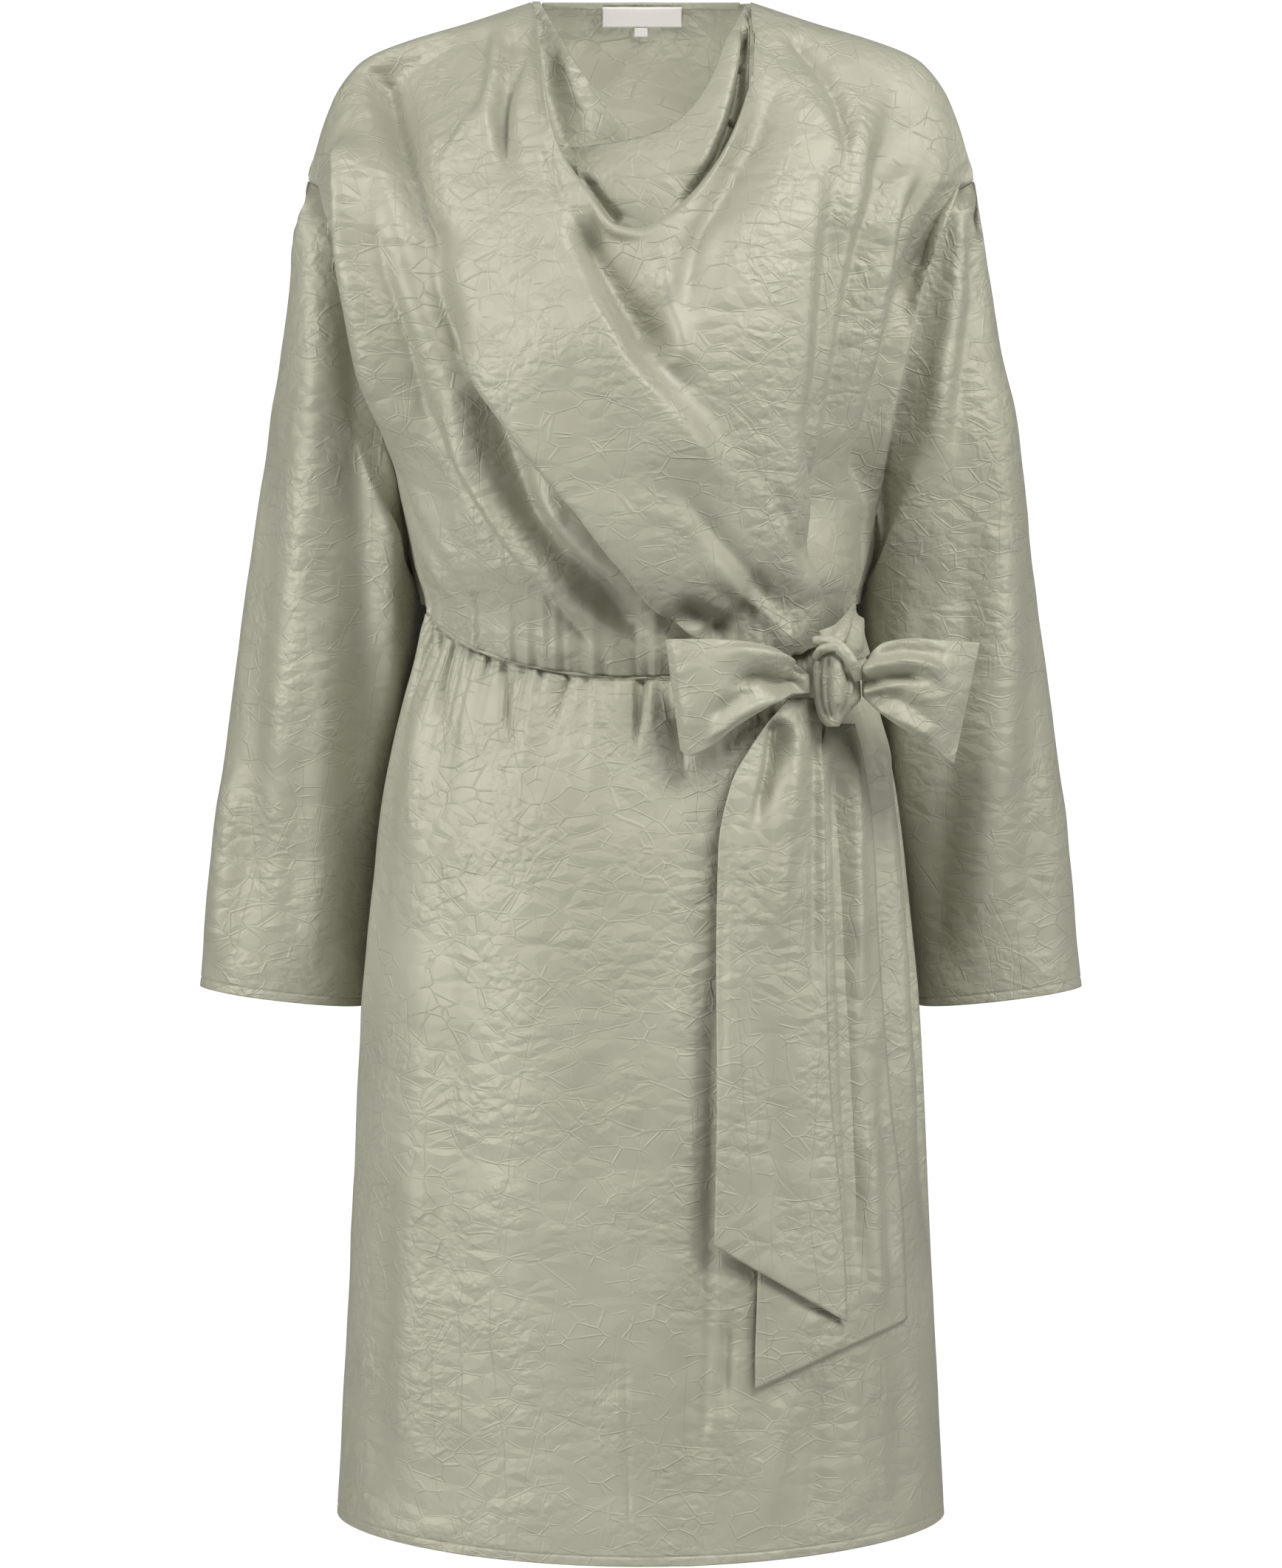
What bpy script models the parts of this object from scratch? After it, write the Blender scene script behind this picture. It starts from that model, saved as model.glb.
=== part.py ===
"""A knee-length draped dress in crinkled satin, filled out with no wearer: a front that drapes across to a bow
at the wearer's left, a cowl neck, long wide sleeves and a gathered skirt.

Metres, +Z up, the front faces -Y and the wearer's left is +X. The origin lies midway between the shoulders, at
the height where they carry the dress. Every piece of cloth is an open surface worked out from the tables below,
then thickened inwards. Routes of folds and the outlines of the loose pieces were read off a photograph, so those
tables hold photo pixels, and PIXEL and the viewing point turn them into real places.
"""

import math
from collections import namedtuple

import bmesh
import bpy
import numpy as np

MM = 0.001
DEGREE = math.pi / 180

# Driving sizes of the dress.
WALL = 1.4 * MM  # the cloth with its turnings
SEAM = 0.3 * MM  # gap between two pieces that are sewn together
HALF_SEAM = SEAM / 2
NECK_HALF = 71 * MM  # half the width of the neck opening, on the shoulder line
NECK_TOP = 17.5 * MM
NECK_RISE = 36 * MM  # the shoulder line carries on over the neck as a low dome
NECK_BACK_RISE = 5 * MM  # how far the back's top edge arches up in the middle
FRONT_NECK_SHARE = 0.42  # the neck's share of the front's columns
BACK_NECK_SHARE = 0.33
SHOULDER_ROUND = 72 * MM  # how far below the shoulder line the cloth reaches its full depth
SETTLE_DROP = 110 * MM  # and how far down it keeps to the top edge's spacing
SETTLE_EDGE = 0.9  # share of the quarter turn past which it keeps to the side seam instead
NOTCH_POWER = 24  # how close to its side edge the armhole's notch is kept
WAIST_Z = -376 * MM
WAIST_DIP_FRONT = 43 * MM
WAIST_DIP_BACK = -4 * MM
WAIST_DIP_POWER = 1.2
HEM_Z = -971 * MM
HEM_DIP_FRONT = 8 * MM

# The point that the photograph was taken from, and its scale on the plane through both side seams.
VIEW_DISTANCE = 3.2
VIEW_HEIGHT = -0.32
AIM_HEIGHT = -0.49
PIXEL = 0.4816 * MM
PHOTO_CENTRE = (868.0, 1061.5)
TILT = math.atan2(VIEW_HEIGHT - AIM_HEIGHT, VIEW_DISTANCE)
FOCAL = math.hypot(VIEW_DISTANCE, VIEW_HEIGHT - AIM_HEIGHT) / PIXEL

# The shoulder line from the neck point out to the top of the sleeve, in mm.
ShoulderPoint = namedtuple("ShoulderPoint", "x z")
SHOULDER = [
    ShoulderPoint(71, 17.5),
    ShoulderPoint(112, 4),
    ShoulderPoint(152, -8),
    ShoulderPoint(179, -19.5),
    ShoulderPoint(196, -38.5),
    ShoulderPoint(208, -67),
    ShoulderPoint(216, -97),
]

# Level sections of the bodice, in mm. The armhole opens where the front and back edges stand apart.
BodiceRow = namedtuple("BodiceRow", "z half notch front_y front_depth back_y back_depth")
BODICE = [
    BodiceRow(17.5, 76, 0, 10.5, 52, 11.5, 60),
    BodiceRow(4, 114, 0, 10.5, 58, 11.5, 66),
    BodiceRow(-8, 154, 0, 10.5, 64, 11.5, 70),
    BodiceRow(-19.5, 179, 0, 10.5, 68, 11.5, 72),
    BodiceRow(-38.5, 197, 0, 10.5, 76, 11.5, 75),
    BodiceRow(-67, 208, 0, 10.3, 88, 11.7, 80),
    BodiceRow(-97, 216, 0, 10, 98, 12, 84),
    BodiceRow(-107, 214, 12, 8, 101, 26, 74),
    BodiceRow(-133, 205, 17, 3, 107, 58, 52),
    BodiceRow(-200, 183, 7, 1, 116, 80, 38),
    BodiceRow(-260, 166, 3, 8, 122, 72, 46),
    BodiceRow(-311, 155, 0, 28, 139, 31, 84),
    BodiceRow(-345, 148, 0, 25, 128, 26, 84),
    BodiceRow(-376, 139, 0, 20, 104, 21, 80),
    BodiceRow(-400, 139, 0, 20, 98, 21, 78),
    BodiceRow(-419, 139, 0, 20, 88, 21, 78),
]
ARMHOLE_TOP = -97 * MM
ARMHOLE_FOOT = -311 * MM

# Level sections of the skirt, in mm below the waist seam's side.
SkirtRow = namedtuple("SkirtRow", "drop half side_y front_depth back_depth")
SKIRT = [
    SkirtRow(0, 139, 20, 88, 78),
    SkirtRow(20, 144, 20, 94, 90),
    SkirtRow(50, 152, 20, 103, 106),
    SkirtRow(87, 161, 20, 111, 118),
    SkirtRow(130, 169, 20, 118, 125),
    SkirtRow(200, 177, 20, 125, 130),
    SkirtRow(260, 183, 19, 129, 132),
    SkirtRow(425, 191, 16, 134, 134),
    SkirtRow(595, 200, 14, 138, 138),
]
WAIST_BLEND = 3  # how soon below the dipped seam the sections are level again
GATHER_START = 12 * MM
WIDEST_SINE = 0.98

# Sections of a sleeve from the armhole to the cuff, in mm: the outer and inner ends of each and its depth.
SleeveRow = namedtuple("SleeveRow", "outer_x outer_z inner_x inner_z middle_y front back")
SLEEVE = [
    SleeveRow(216, -97, 155, -311, 34, 40, 44),
    SleeveRow(226, -144, 151, -345, 42, 44, 46),
    SleeveRow(238, -211, 148, -372, 50, 47, 48),
    SleeveRow(249, -281, 149, -402, 56, 48, 50),
    SleeveRow(261, -358, 156, -440, 62, 50, 52),
    SleeveRow(273, -443, 168, -494, 68, 50, 52),
    SleeveRow(285, -530, 178, -560, 74, 48, 50),
    SleeveRow(295, -629, 185, -642, 80, 46, 48),
]
ARMHOLE_BLEND = 1.6  # the sleeve has left the armhole's shape after this many sections
ARMHOLE_LEAN = 6  # how far back the armhole's shape is carried over the first section, in mm
ARMHOLE_CLEAR = (1.5 * MM, 0.9 * MM)  # how far the sleeve's top edge stands out, sideways and all round

# The crest of the cowl's outer fold, from the wearer's right neck point to the left one.
CREST_PX = [
    (722, 3),
    (731, 60),
    (739, 130),
    (757, 196),
    (796, 256),
    (834, 303),
    (864, 308),
    (906, 287),
    (946, 250),
    (981, 200),
    (1005, 145),
    (1019, 95),
    (1022, 45),
    (1014, 3),
]
CREST_ROUND = 6 * MM  # radius of the roll along that crest
CREST_TUCK = 14 * MM  # how far the cloth turns down behind it
CREST_BACK = (0.6, 0.7)  # how far back that turning starts, and goes on to, in shares of the roll's radius
CREST_ROWS = 3
CREST_FADE = 4  # how late the roll dies away towards the two neck points

# The cowl's inner fold: its top edge, and its foot hidden behind the crest.
CowlPoint = namedtuple("CowlPoint", "top foot top_y")  # two photo points, and mm
COWL = [
    CowlPoint((752, 194), (762, 216), -52),
    CowlPoint((776, 199), (800, 276), -58),
    CowlPoint((804, 196), (836, 322), -61),
    CowlPoint((854, 188), (868, 326), -62),
    CowlPoint((894, 176), (912, 304), -59),
    CowlPoint((934, 147), (956, 262), -53),
    CowlPoint((963, 105), (990, 204), -43),
    CowlPoint((985, 52), (1012, 118), -24),
    CowlPoint((1009, 7), (1014, 16), 6),
]
COWL_AT_NECK = 3.6 * MM
COWL_BEHIND = 20 * MM  # how far the foot hangs behind the crest
COWL_BELLY = 3 * MM
COWL_ROLL, COWL_ROLL_POWER = 5 * MM, 6  # how far its top edge leans back, and how soon that ends
COWL_TURNING = (3.5 * MM, 9 * MM)  # how far the turning behind the top edge goes back and down

# The layer inside it, at the wearer's right: its free edge runs straight from the neck point.
UnderRow = namedtuple("UnderRow", "row left right left_y right_y")
UNDER = [
    UnderRow(2, 721, 731, 7, 8),
    UnderRow(60, 724, 764, -8, -8),
    UnderRow(110, 729, 797, -24, -22),
    UnderRow(150, 737, 826, -34, -32),
    UnderRow(190, 750, 854, -42, -40),
    UnderRow(222, 772, 878, -46, -45),
]
UNDER_BACK, UNDER_BELLY = 2 * MM, 5 * MM  # how far back it all lies, and how far its foot bellies back

# Folds of the front, each along a route in photo pixels. height in mm is out of the cloth, and less than 0 is a
# trough; left and right are how far it spreads to either side in mm. start and end are the shares of the route over
# which it rises and dies away. A lap stands up sharply along its route, high on the wearer's left of it where
# height is more than 0, and sinks by LAP_SINK of it on the other side.
Fold = namedtuple("Fold", "name kind height left right start end route")
FOLDS = [
    Fold("shoulder_edge", "ridge", 13, 8, 13, 0.12, 0.30,
         [(470, 175), (476, 300), (497, 420), (522, 530), (552, 625)]),
    Fold("sweep_outer", "ridge", 7, 17, 15, 0.35, 0.25,
         [(585, 560), (640, 655), (700, 740), (760, 812), (812, 880)]),
    Fold("sweep_dip", "ridge", -9, 12, 18, 0.25, 0.10,
         [(532, 140), (552, 235), (585, 350), (613, 445), (640, 500)]),
    Fold("great_lap", "lap", 9, 17, 60, 0.14, 0.05,
         [(612, 440), (640, 502), (720, 612), (810, 715), (900, 818), (958, 868)]),
    Fold("sweep_inner", "ridge", -7, 12, 10, 0.20, 0.25,
         [(640, 570), (668, 645), (730, 716), (800, 778), (870, 846)]),
    Fold("neck_dart", "ridge", -7, 9, 9, 0.15, 0.35,
         [(692, 20), (682, 95), (679, 160), (690, 215), (715, 275)]),
    Fold("chest_dip", "ridge", -8, 14, 11, 0.30, 0.30,
         [(780, 296), (808, 345), (840, 405), (870, 475)]),
    Fold("chest_crown", "ridge", 8, 20, 26, 0.25, 0.35,
         [(752, 330), (806, 440), (870, 528), (960, 620), (1030, 720)]),
    Fold("cowl_dip", "ridge", -8, 10, 12, 0.25, 0.30,
         [(1035, 110), (1008, 200), (962, 285), (930, 350), (924, 410)]),
    Fold("left_plane", "lap", -8, 40, 14, 0.35, 0.05,
         [(1108, 250), (1128, 400), (1114, 600), (1102, 740), (1099, 905)]),
    Fold("left_rib", "ridge", 6, 8, 8, 0.30, 0.10,
         [(1162, 330), (1164, 430), (1152, 570), (1130, 720), (1112, 850)]),
    Fold("left_cleft", "ridge", -9, 9, 10, 0.22, 0.25,
         [(1234, 95), (1224, 215), (1197, 390), (1170, 560), (1135, 745)]),
    Fold("left_edge", "ridge", 11, 16, 9, 0.15, 0.15,
         [(1283, 150), (1250, 345), (1215, 500), (1190, 640), (1150, 770)]),
]
LAP_EDGE = 3.2 * MM  # half the width of a lap's steep side
LAP_SINK = 0.55
ROUTE_STEPS = 25

# Shares of the front over which the folds rise from its edges.
FoldMargin = namedtuple("FoldMargin", "top foot side")
FOLD_MARGIN = FoldMargin(0.10, 0.06, 0.05)

# The skirt's gathers hang from the waist seam. at is the angle round from the front's middle, in degrees.
Gather = namedtuple("Gather", "at height spread length")
FRONT_GATHERS = [
    Gather(-80, 3.5, 5.0, 330),
    Gather(-66, 2.2, 4.0, 120),
    Gather(-52, 2.6, 4.5, 150),
    Gather(-39, 3.6, 4.5, 170),
    Gather(-25, 2.6, 4.5, 120),
    Gather(-11, 2.4, 4.0, 110),
    Gather(1, 3.4, 4.5, 160),
    Gather(16, 2.6, 5.0, 190),
    Gather(34, 3.0, 6.0, 420),
    Gather(55, 2.8, 6.0, 300),
    Gather(78, 3.0, 5.0, 260),
]
BACK_GATHERS = [
    Gather(-78, 1.5, 5.5, 120),
    Gather(-65, 3.2, 5.5, 190),
    Gather(-52, 1.8, 5.5, 130),
    Gather(-39, 3.0, 5.5, 200),
    Gather(-26, 2.2, 5.5, 140),
    Gather(-13, 3.4, 5.5, 180),
    Gather(0, 2.4, 5.5, 150),
    Gather(13, 1.6, 5.5, 120),
    Gather(26, 3.2, 5.5, 190),
    Gather(39, 2.0, 5.5, 160),
    Gather(52, 2.8, 5.5, 210),
    Gather(65, 1.7, 5.5, 130),
    Gather(78, 3.1, 5.5, 180),
]

# Loose pieces of the sash: outlines in photo pixels, with how far each stands in front of the origin in mm.
LoopRow = namedtuple("LoopRow", "top foot front back")  # top and foot are points; front and back are y in mm
RIGHT_LOOP = [
    LoopRow((1096, 914), (1097, 938), -80, -73),
    LoopRow((1076, 898), (1070, 941), -91, -77),
    LoopRow((1050, 877), (1036, 960), -104, -84),
    LoopRow((1002, 867), (1000, 982), -114, -88),
    LoopRow((950, 865), (960, 1012), -117, -93),
    LoopRow((915, 865), (934, 1024), -113, -97),
    LoopRow((901, 866), (921, 1016), -106, -104),
]
LEFT_LOOP = [
    LoopRow((1167, 912), (1167, 942), -80, -73),
    LoopRow((1178, 886), (1183, 958), -88, -67),
    LoopRow((1200, 869), (1206, 976), -95, -64),
    LoopRow((1240, 864), (1238, 996), -97, -62),
    LoopRow((1284, 867), (1266, 1014), -92, -61),
    LoopRow((1314, 869), (1283, 1029), -82, -64),
    LoopRow((1327, 870), (1292, 1034), -75, -72),
]
LOOP_EDGE = 0.55  # how thick a loop is along its top and foot, as a share of its middle
TailRow = namedtuple("TailRow", "row left right off")  # off is how far it stands off the skirt, in mm
FRONT_TAIL = [
    TailRow(945, 1068, 1116, 15.5),
    TailRow(1000, 1024, 1113, 12),
    TailRow(1060, 991, 1117, 14),
    TailRow(1150, 973, 1119, 10),
    TailRow(1300, 970, 1120, 9),
    TailRow(1480, 971, 1126, 9),
    TailRow(1620, 969, 1139, 9),
    TailRow(1740, 966, 1147, 10),
]
FRONT_TAIL_CUT = (1687, 1790)  # rows of the slanting end's two corners
BACK_TAIL = [
    TailRow(980, 1122, 1158, 8),
    TailRow(1030, 1106, 1170, 6),
    TailRow(1120, 1085, 1182, 5),
    TailRow(1300, 1065, 1192, 5),
    TailRow(1480, 1048, 1206, 5),
    TailRow(1650, 1030, 1224, 4),
    TailRow(1830, 1023, 1230, 5),
]
BACK_TAIL_CUT = (1881, 1786)
KNOT_MIDDLE_PX = (1132, 932)
KNOT_Y = -76 * MM
KNOT_HALF = (16 * MM, 13 * MM, 25 * MM)
KNOT_LEAN = -8 * DEGREE
KNOT_WRAPS, KNOT_GROOVE = 6, 0.07  # grooves round it, and their depth as a share of its radius
StrapRow = namedtuple("StrapRow", "top foot y")
STRAP = [
    StrapRow((1110, 854), (1120, 878), -76),
    StrapRow((1132, 845), (1144, 888), -66),
    StrapRow((1147, 828), (1160, 894), -50),
    StrapRow((1158, 816), (1178, 884), -28),
    StrapRow((1159, 826), (1170, 866), 6),
]

# What is sewn in at the back of the neck.
BAND_WALL = 1.0 * MM
LABEL_WALL = 1.0 * MM
BAND_OFF = BAND_WALL + 2 * SEAM  # how far off the back's inside the far face of each stands
LABEL_OFF = BAND_WALL + LABEL_WALL + 5 * SEAM
BAND_PX = (735, 1001, 4, 13)  # left, right, top and foot in photo pixels
LABEL_PX = (816, 923, 10, 37)
TAB_PX = (859, 877, 38, 50)

# Working values of the search for a place that the photo shows on a curved piece.
CHEST_Y, BACK_Y, SKIRT_FRONT_Y = -60 * MM, 60 * MM, -100 * MM
SEARCH_STEPS = 8
CREST_STEPS = 81
LEAST = 1e-9

# Faces across and along each piece. Rows lie closer together near the top where their power is over 1.
Mesh = namedtuple("Mesh", "across along")
MESHES = {
    "bodice_front": Mesh(38, 17),
    "bodice_back": Mesh(20, 13),
    "skirt_front": Mesh(28, 7),
    "skirt_back": Mesh(20, 7),
    "sleeve": Mesh(22, 8),
    "cowl": Mesh(14, 4),
    "under": Mesh(5, 7),
    "loop": Mesh(7, 4),
    "tail": Mesh(6, 10),
    "strap": Mesh(4, 4),
    "band": Mesh(20, 2),
    "label": Mesh(6, 2),
    "tab": Mesh(1, 1),
}
KNOT_MESH = (18, 10)
ROW_POWERS = (1.25, 1.7)  # in the neck's columns, and in the others
SKIRT_ROW_POWER = 1.5
MERGE = 0.02 * MM

SAGE = (0.44, 0.44, 0.36)
LABEL_WHITE = (0.83, 0.79, 0.77)
SATIN_ROUGHNESS, LABEL_ROUGHNESS = 0.45, 0.8


# Curves and places.


def hermite(keys, values, at):
    """The values at `at` on a smooth curve through the rows. Between two rows it never leaves their range."""
    keys, values, at = np.asarray(keys, float), np.asarray(values, float), np.asarray(at, float)
    at = np.clip(at, keys[0], keys[-1])
    steps = np.diff(keys)
    rises = np.diff(values) / steps
    slopes = np.empty_like(values)
    slopes[0], slopes[-1] = rises[0], rises[-1]
    before, after = rises[:-1], rises[1:]
    turning = before * after <= 0
    slopes[1:-1] = np.where(turning, 0, 2 * before * after / np.where(turning, 1, before + after))
    i = np.clip(np.searchsorted(keys, at, "right") - 1, 0, len(steps) - 1)
    t = (at - keys[i]) / steps[i]
    return (
        values[i] * (1 + 2 * t) * (1 - t) ** 2
        + slopes[i] * steps[i] * t * (1 - t) ** 2
        + values[i + 1] * t**2 * (3 - 2 * t)
        - slopes[i + 1] * steps[i] * t**2 * (1 - t)
    )


def column(rows, key, name, at):
    """One named column of a table as a smooth function of another, in metres."""
    ordered = sorted(rows, key=lambda row: getattr(row, key))
    keys = [getattr(row, key) * MM for row in ordered]
    return hermite(keys, [getattr(row, name) * MM for row in ordered], at)


def along(points, share):
    """Points at these shares, 0 to 1, of the way along a smooth curve through the given ones."""
    points = np.asarray(points, float)
    way = np.concatenate([[0], np.cumsum(np.linalg.norm(np.diff(points, axis=0), axis=1))])
    at = np.asarray(share, float) * way[-1]
    return np.stack([hermite(way, points[:, k], at) for k in range(points.shape[1])], axis=-1)


def ease(t):
    t = np.clip(t, 0, 1)
    return t * t * (3 - 2 * t)


def to_photo(points):
    """Where points are seen in the photograph, as pixel columns and rows."""
    reach = points[..., 1] + VIEW_DISTANCE
    rise = points[..., 2] - VIEW_HEIGHT
    depth = reach * math.cos(TILT) - rise * math.sin(TILT)
    up = reach * math.sin(TILT) + rise * math.cos(TILT)
    seen = np.stack([FOCAL * points[..., 0] / depth, -FOCAL * up / depth], axis=-1)
    return seen + np.array(PHOTO_CENTRE)


def from_photo(pixel, y):
    """The place of a photo pixel on the plane that is y in front of or behind the origin."""
    pixel, y = np.asarray(pixel, float), np.asarray(y, float)
    across = (pixel[..., 0] - PHOTO_CENTRE[0]) / FOCAL
    upward = (PHOTO_CENTRE[1] - pixel[..., 1]) / FOCAL
    reach = y + VIEW_DISTANCE
    rise = reach * (upward * math.cos(TILT) - math.sin(TILT)) / (math.cos(TILT) + upward * math.sin(TILT))
    depth = reach * math.cos(TILT) - rise * math.sin(TILT)
    return np.stack([across * depth, y, rise + VIEW_HEIGHT], axis=-1)


# The dress on its general figure.


def shoulder_line(x):
    """Height of the shoulder line over x, carried on over the neck as a low dome."""
    x = np.abs(x)
    line = np.array([[p.x * MM, p.z * MM] for p in SHOULDER])
    over_neck = NECK_TOP + NECK_RISE * (1 - (np.minimum(x, NECK_HALF) / NECK_HALF) ** 2)
    return np.where(x < NECK_HALF, over_neck, hermite(line[:, 0], line[:, 1], x))


def rounding(x, z):
    """0 on the shoulder line and 1 where the cloth has reached its full depth."""
    below = np.clip((shoulder_line(x) - z) / SHOULDER_ROUND, 0, 1)
    return np.sqrt(1 - (1 - below) ** 2)


def waist_line(angle, dip):
    return WAIST_Z - dip * np.abs(np.cos(angle)) ** WAIST_DIP_POWER


def bodice_columns(share, neck_share):
    """For columns from side to side, share -1 to 1: the angle round the figure and the place along the top, which
    is over 1 on a shoulder (1 at the neck, 2 at the sleeve) and under 1 across the neck."""
    angle = share * math.pi / 2
    size = np.abs(share)
    place = np.where(size > neck_share, 1 + (size - neck_share) / (1 - neck_share), size / neck_share)
    return angle, place


def shoulder_point(place):
    """x and z on the shoulder line at place 1 to 2."""
    return along([[p.x * MM, p.z * MM] for p in SHOULDER], np.clip(place - 1, 0, 1))


def bodice_point(angle, z, top_x, top_z, is_front):
    """A place on the plain bodice: from the top edge it falls to the level section at z."""
    edge = "front" if is_front else "back"
    depth = column(BODICE, "z", edge + "_depth", z)
    middle = column(BODICE, "z", edge + "_y", z)
    half = column(BODICE, "z", "half", z)
    notch = column(BODICE, "z", "notch", z)
    sine = np.sin(angle)
    ring_x = half * sine - notch * np.sign(sine) * np.abs(sine) ** NOTCH_POWER
    settled = ease((top_z - z) / SETTLE_DROP)
    at_edge = ease((np.abs(angle) / (math.pi / 2) - SETTLE_EDGE) / (1 - SETTLE_EDGE))
    settled = np.maximum(settled, at_edge)
    x = top_x + (ring_x - top_x) * settled
    way = -1 if is_front else 1
    y = middle + way * depth * np.cos(angle) * rounding(x, z)
    return np.stack([x, y, z], axis=-1)


def crest_point(share):
    """The cowl's crest, share 0 to 1 from the wearer's right to left."""
    pixel = along(CREST_PX, share)
    angle = (2 * share - 1) * FRONT_NECK_SHARE * math.pi / 2
    y = np.full(np.shape(share), CHEST_Y)
    for _ in range(SEARCH_STEPS):
        place = from_photo(pixel, y)
        y = bodice_point(angle, place[..., 2], place[..., 0], place[..., 2], True)[..., 1]
    return from_photo(pixel, y)


def nearest_crest_y(pixel):
    """How far back the crest is where it passes nearest to each photo pixel."""
    crest = crest_point(np.linspace(0, 1, CREST_STEPS))
    gap = np.linalg.norm(to_photo(crest)[None] - pixel[:, None], axis=-1)
    return crest[gap.argmin(axis=1), 1]


def falls(down, in_neck):
    """Shares of the way down for each row and column. Rows lie closer near the top."""
    return (np.arange(down + 1) / down)[:, None] ** np.where(in_neck, *ROW_POWERS)


def bodice_front(across, down):
    """The front's grid of points, rows from the top. Above its first whole row it rolls over the cowl's crest,
    for which CREST_ROWS rows are given for the neck's columns alone."""
    share = np.linspace(-1, 1, across + 1)
    angle, place = bodice_columns(share, FRONT_NECK_SHARE)
    on_shoulder = shoulder_point(place)
    in_neck = place < 1
    crest = crest_point(np.clip(0.5 + 0.5 * share / FRONT_NECK_SHARE, 0, 1))
    top_x = np.where(in_neck, crest[:, 0], np.sign(share) * on_shoulder[:, 0])
    top_z = np.where(in_neck, crest[:, 2], on_shoulder[:, 1])
    window = np.where(in_neck, np.sqrt(np.clip(1 - place**CREST_FADE, 0, 1)), 0)
    foot = waist_line(angle, WAIST_DIP_FRONT) + HALF_SEAM
    radius = CREST_ROUND * window
    rows = []
    for fall in falls(down, in_neck):
        z = top_z + (foot - top_z) * fall
        point = bodice_point(angle, z, top_x, top_z, True)
        below = np.clip((top_z - z) / np.maximum(radius, LEAST), 0, 1)
        point[:, 1] += radius * (1 - np.sqrt(1 - (1 - below) ** 2))
        point[:, 1] -= HALF_SEAM
        rows.append(point)
    grid = np.array(rows)
    tucks = []
    for k in range(1, CREST_ROWS + 1):
        turn = k / CREST_ROWS
        point = grid[0].copy()
        point[:, 1] += radius * (CREST_BACK[0] + CREST_BACK[1] * turn)
        point[:, 2] -= CREST_TUCK * window * turn * turn
        tucks.append(point)
    return np.concatenate([np.array(tucks[::-1]), grid]), window > 0


def bodice_back(across, down):
    share = np.linspace(-1, 1, across + 1)
    angle, place = bodice_columns(share, BACK_NECK_SHARE)
    on_shoulder = shoulder_point(place)
    in_neck = place < 1
    neck_x = NECK_HALF * share / BACK_NECK_SHARE
    top_x = np.where(in_neck, neck_x, np.sign(share) * on_shoulder[:, 0])
    top_z = np.where(in_neck, back_neck_height(neck_x), on_shoulder[:, 1])
    foot = waist_line(angle, WAIST_DIP_BACK) + HALF_SEAM
    rows = []
    for fall in falls(down, in_neck):
        z = top_z + (foot - top_z) * fall
        point = bodice_point(angle, z, top_x, top_z, False)
        point[:, 1] += HALF_SEAM
        rows.append(point)
    return np.array(rows)


def back_neck_height(x):
    return NECK_TOP + NECK_BACK_RISE * (1 - (np.minimum(np.abs(x), NECK_HALF) / NECK_HALF) ** 2)


def skirt_ring(angle, z, is_front):
    """A place on the plain skirt at this height."""
    drop = WAIST_Z - z
    edge = "front_depth" if is_front else "back_depth"
    depth = column(SKIRT, "drop", edge, drop)
    half = column(SKIRT, "drop", "half", drop)
    way = -1 if is_front else 1
    y = column(SKIRT, "drop", "side_y", drop) + way * depth * np.cos(angle)
    return np.stack([half * np.sin(angle), y, z], axis=-1)


def skirt(across, down, is_front):
    """The skirt's grid of points, rows from the waist seam, with its gathers."""
    angle = np.linspace(-math.pi / 2, math.pi / 2, across + 1)
    way = -1 if is_front else 1
    top = waist_line(angle, WAIST_DIP_FRONT if is_front else WAIST_DIP_BACK) - HALF_SEAM
    foot = HEM_Z - (HEM_DIP_FRONT if is_front else 0) * np.cos(angle) ** 2
    sideways = np.stack([np.sin(angle), way * np.cos(angle), 0 * angle], axis=-1)
    rows = []
    for k in range(down + 1):
        z = top + (foot - top) * (k / down) ** SKIRT_ROW_POWER
        waisted = z + (WAIST_Z - top) * (1 - k / down) ** WAIST_BLEND
        point = skirt_ring(angle, waisted, is_front)
        point[:, 2] = z
        out = gather_height(angle, top - z, FRONT_GATHERS if is_front else BACK_GATHERS)
        point += sideways * out[:, None]
        point[:, 1] += way * HALF_SEAM
        rows.append(point)
    return np.array(rows)


def gather_height(angle, below, gathers):
    """How far the gathers lift the cloth at an angle and a distance below the seam."""
    out = np.zeros(np.shape(angle))
    for g in gathers:
        bell = np.exp(-(((angle / DEGREE - g.at) / g.spread) ** 2))
        fade = ease(below / GATHER_START) * np.exp(-((below / (g.length * MM)) ** 2))
        out += g.height * MM * bell * fade
    return out


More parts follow.
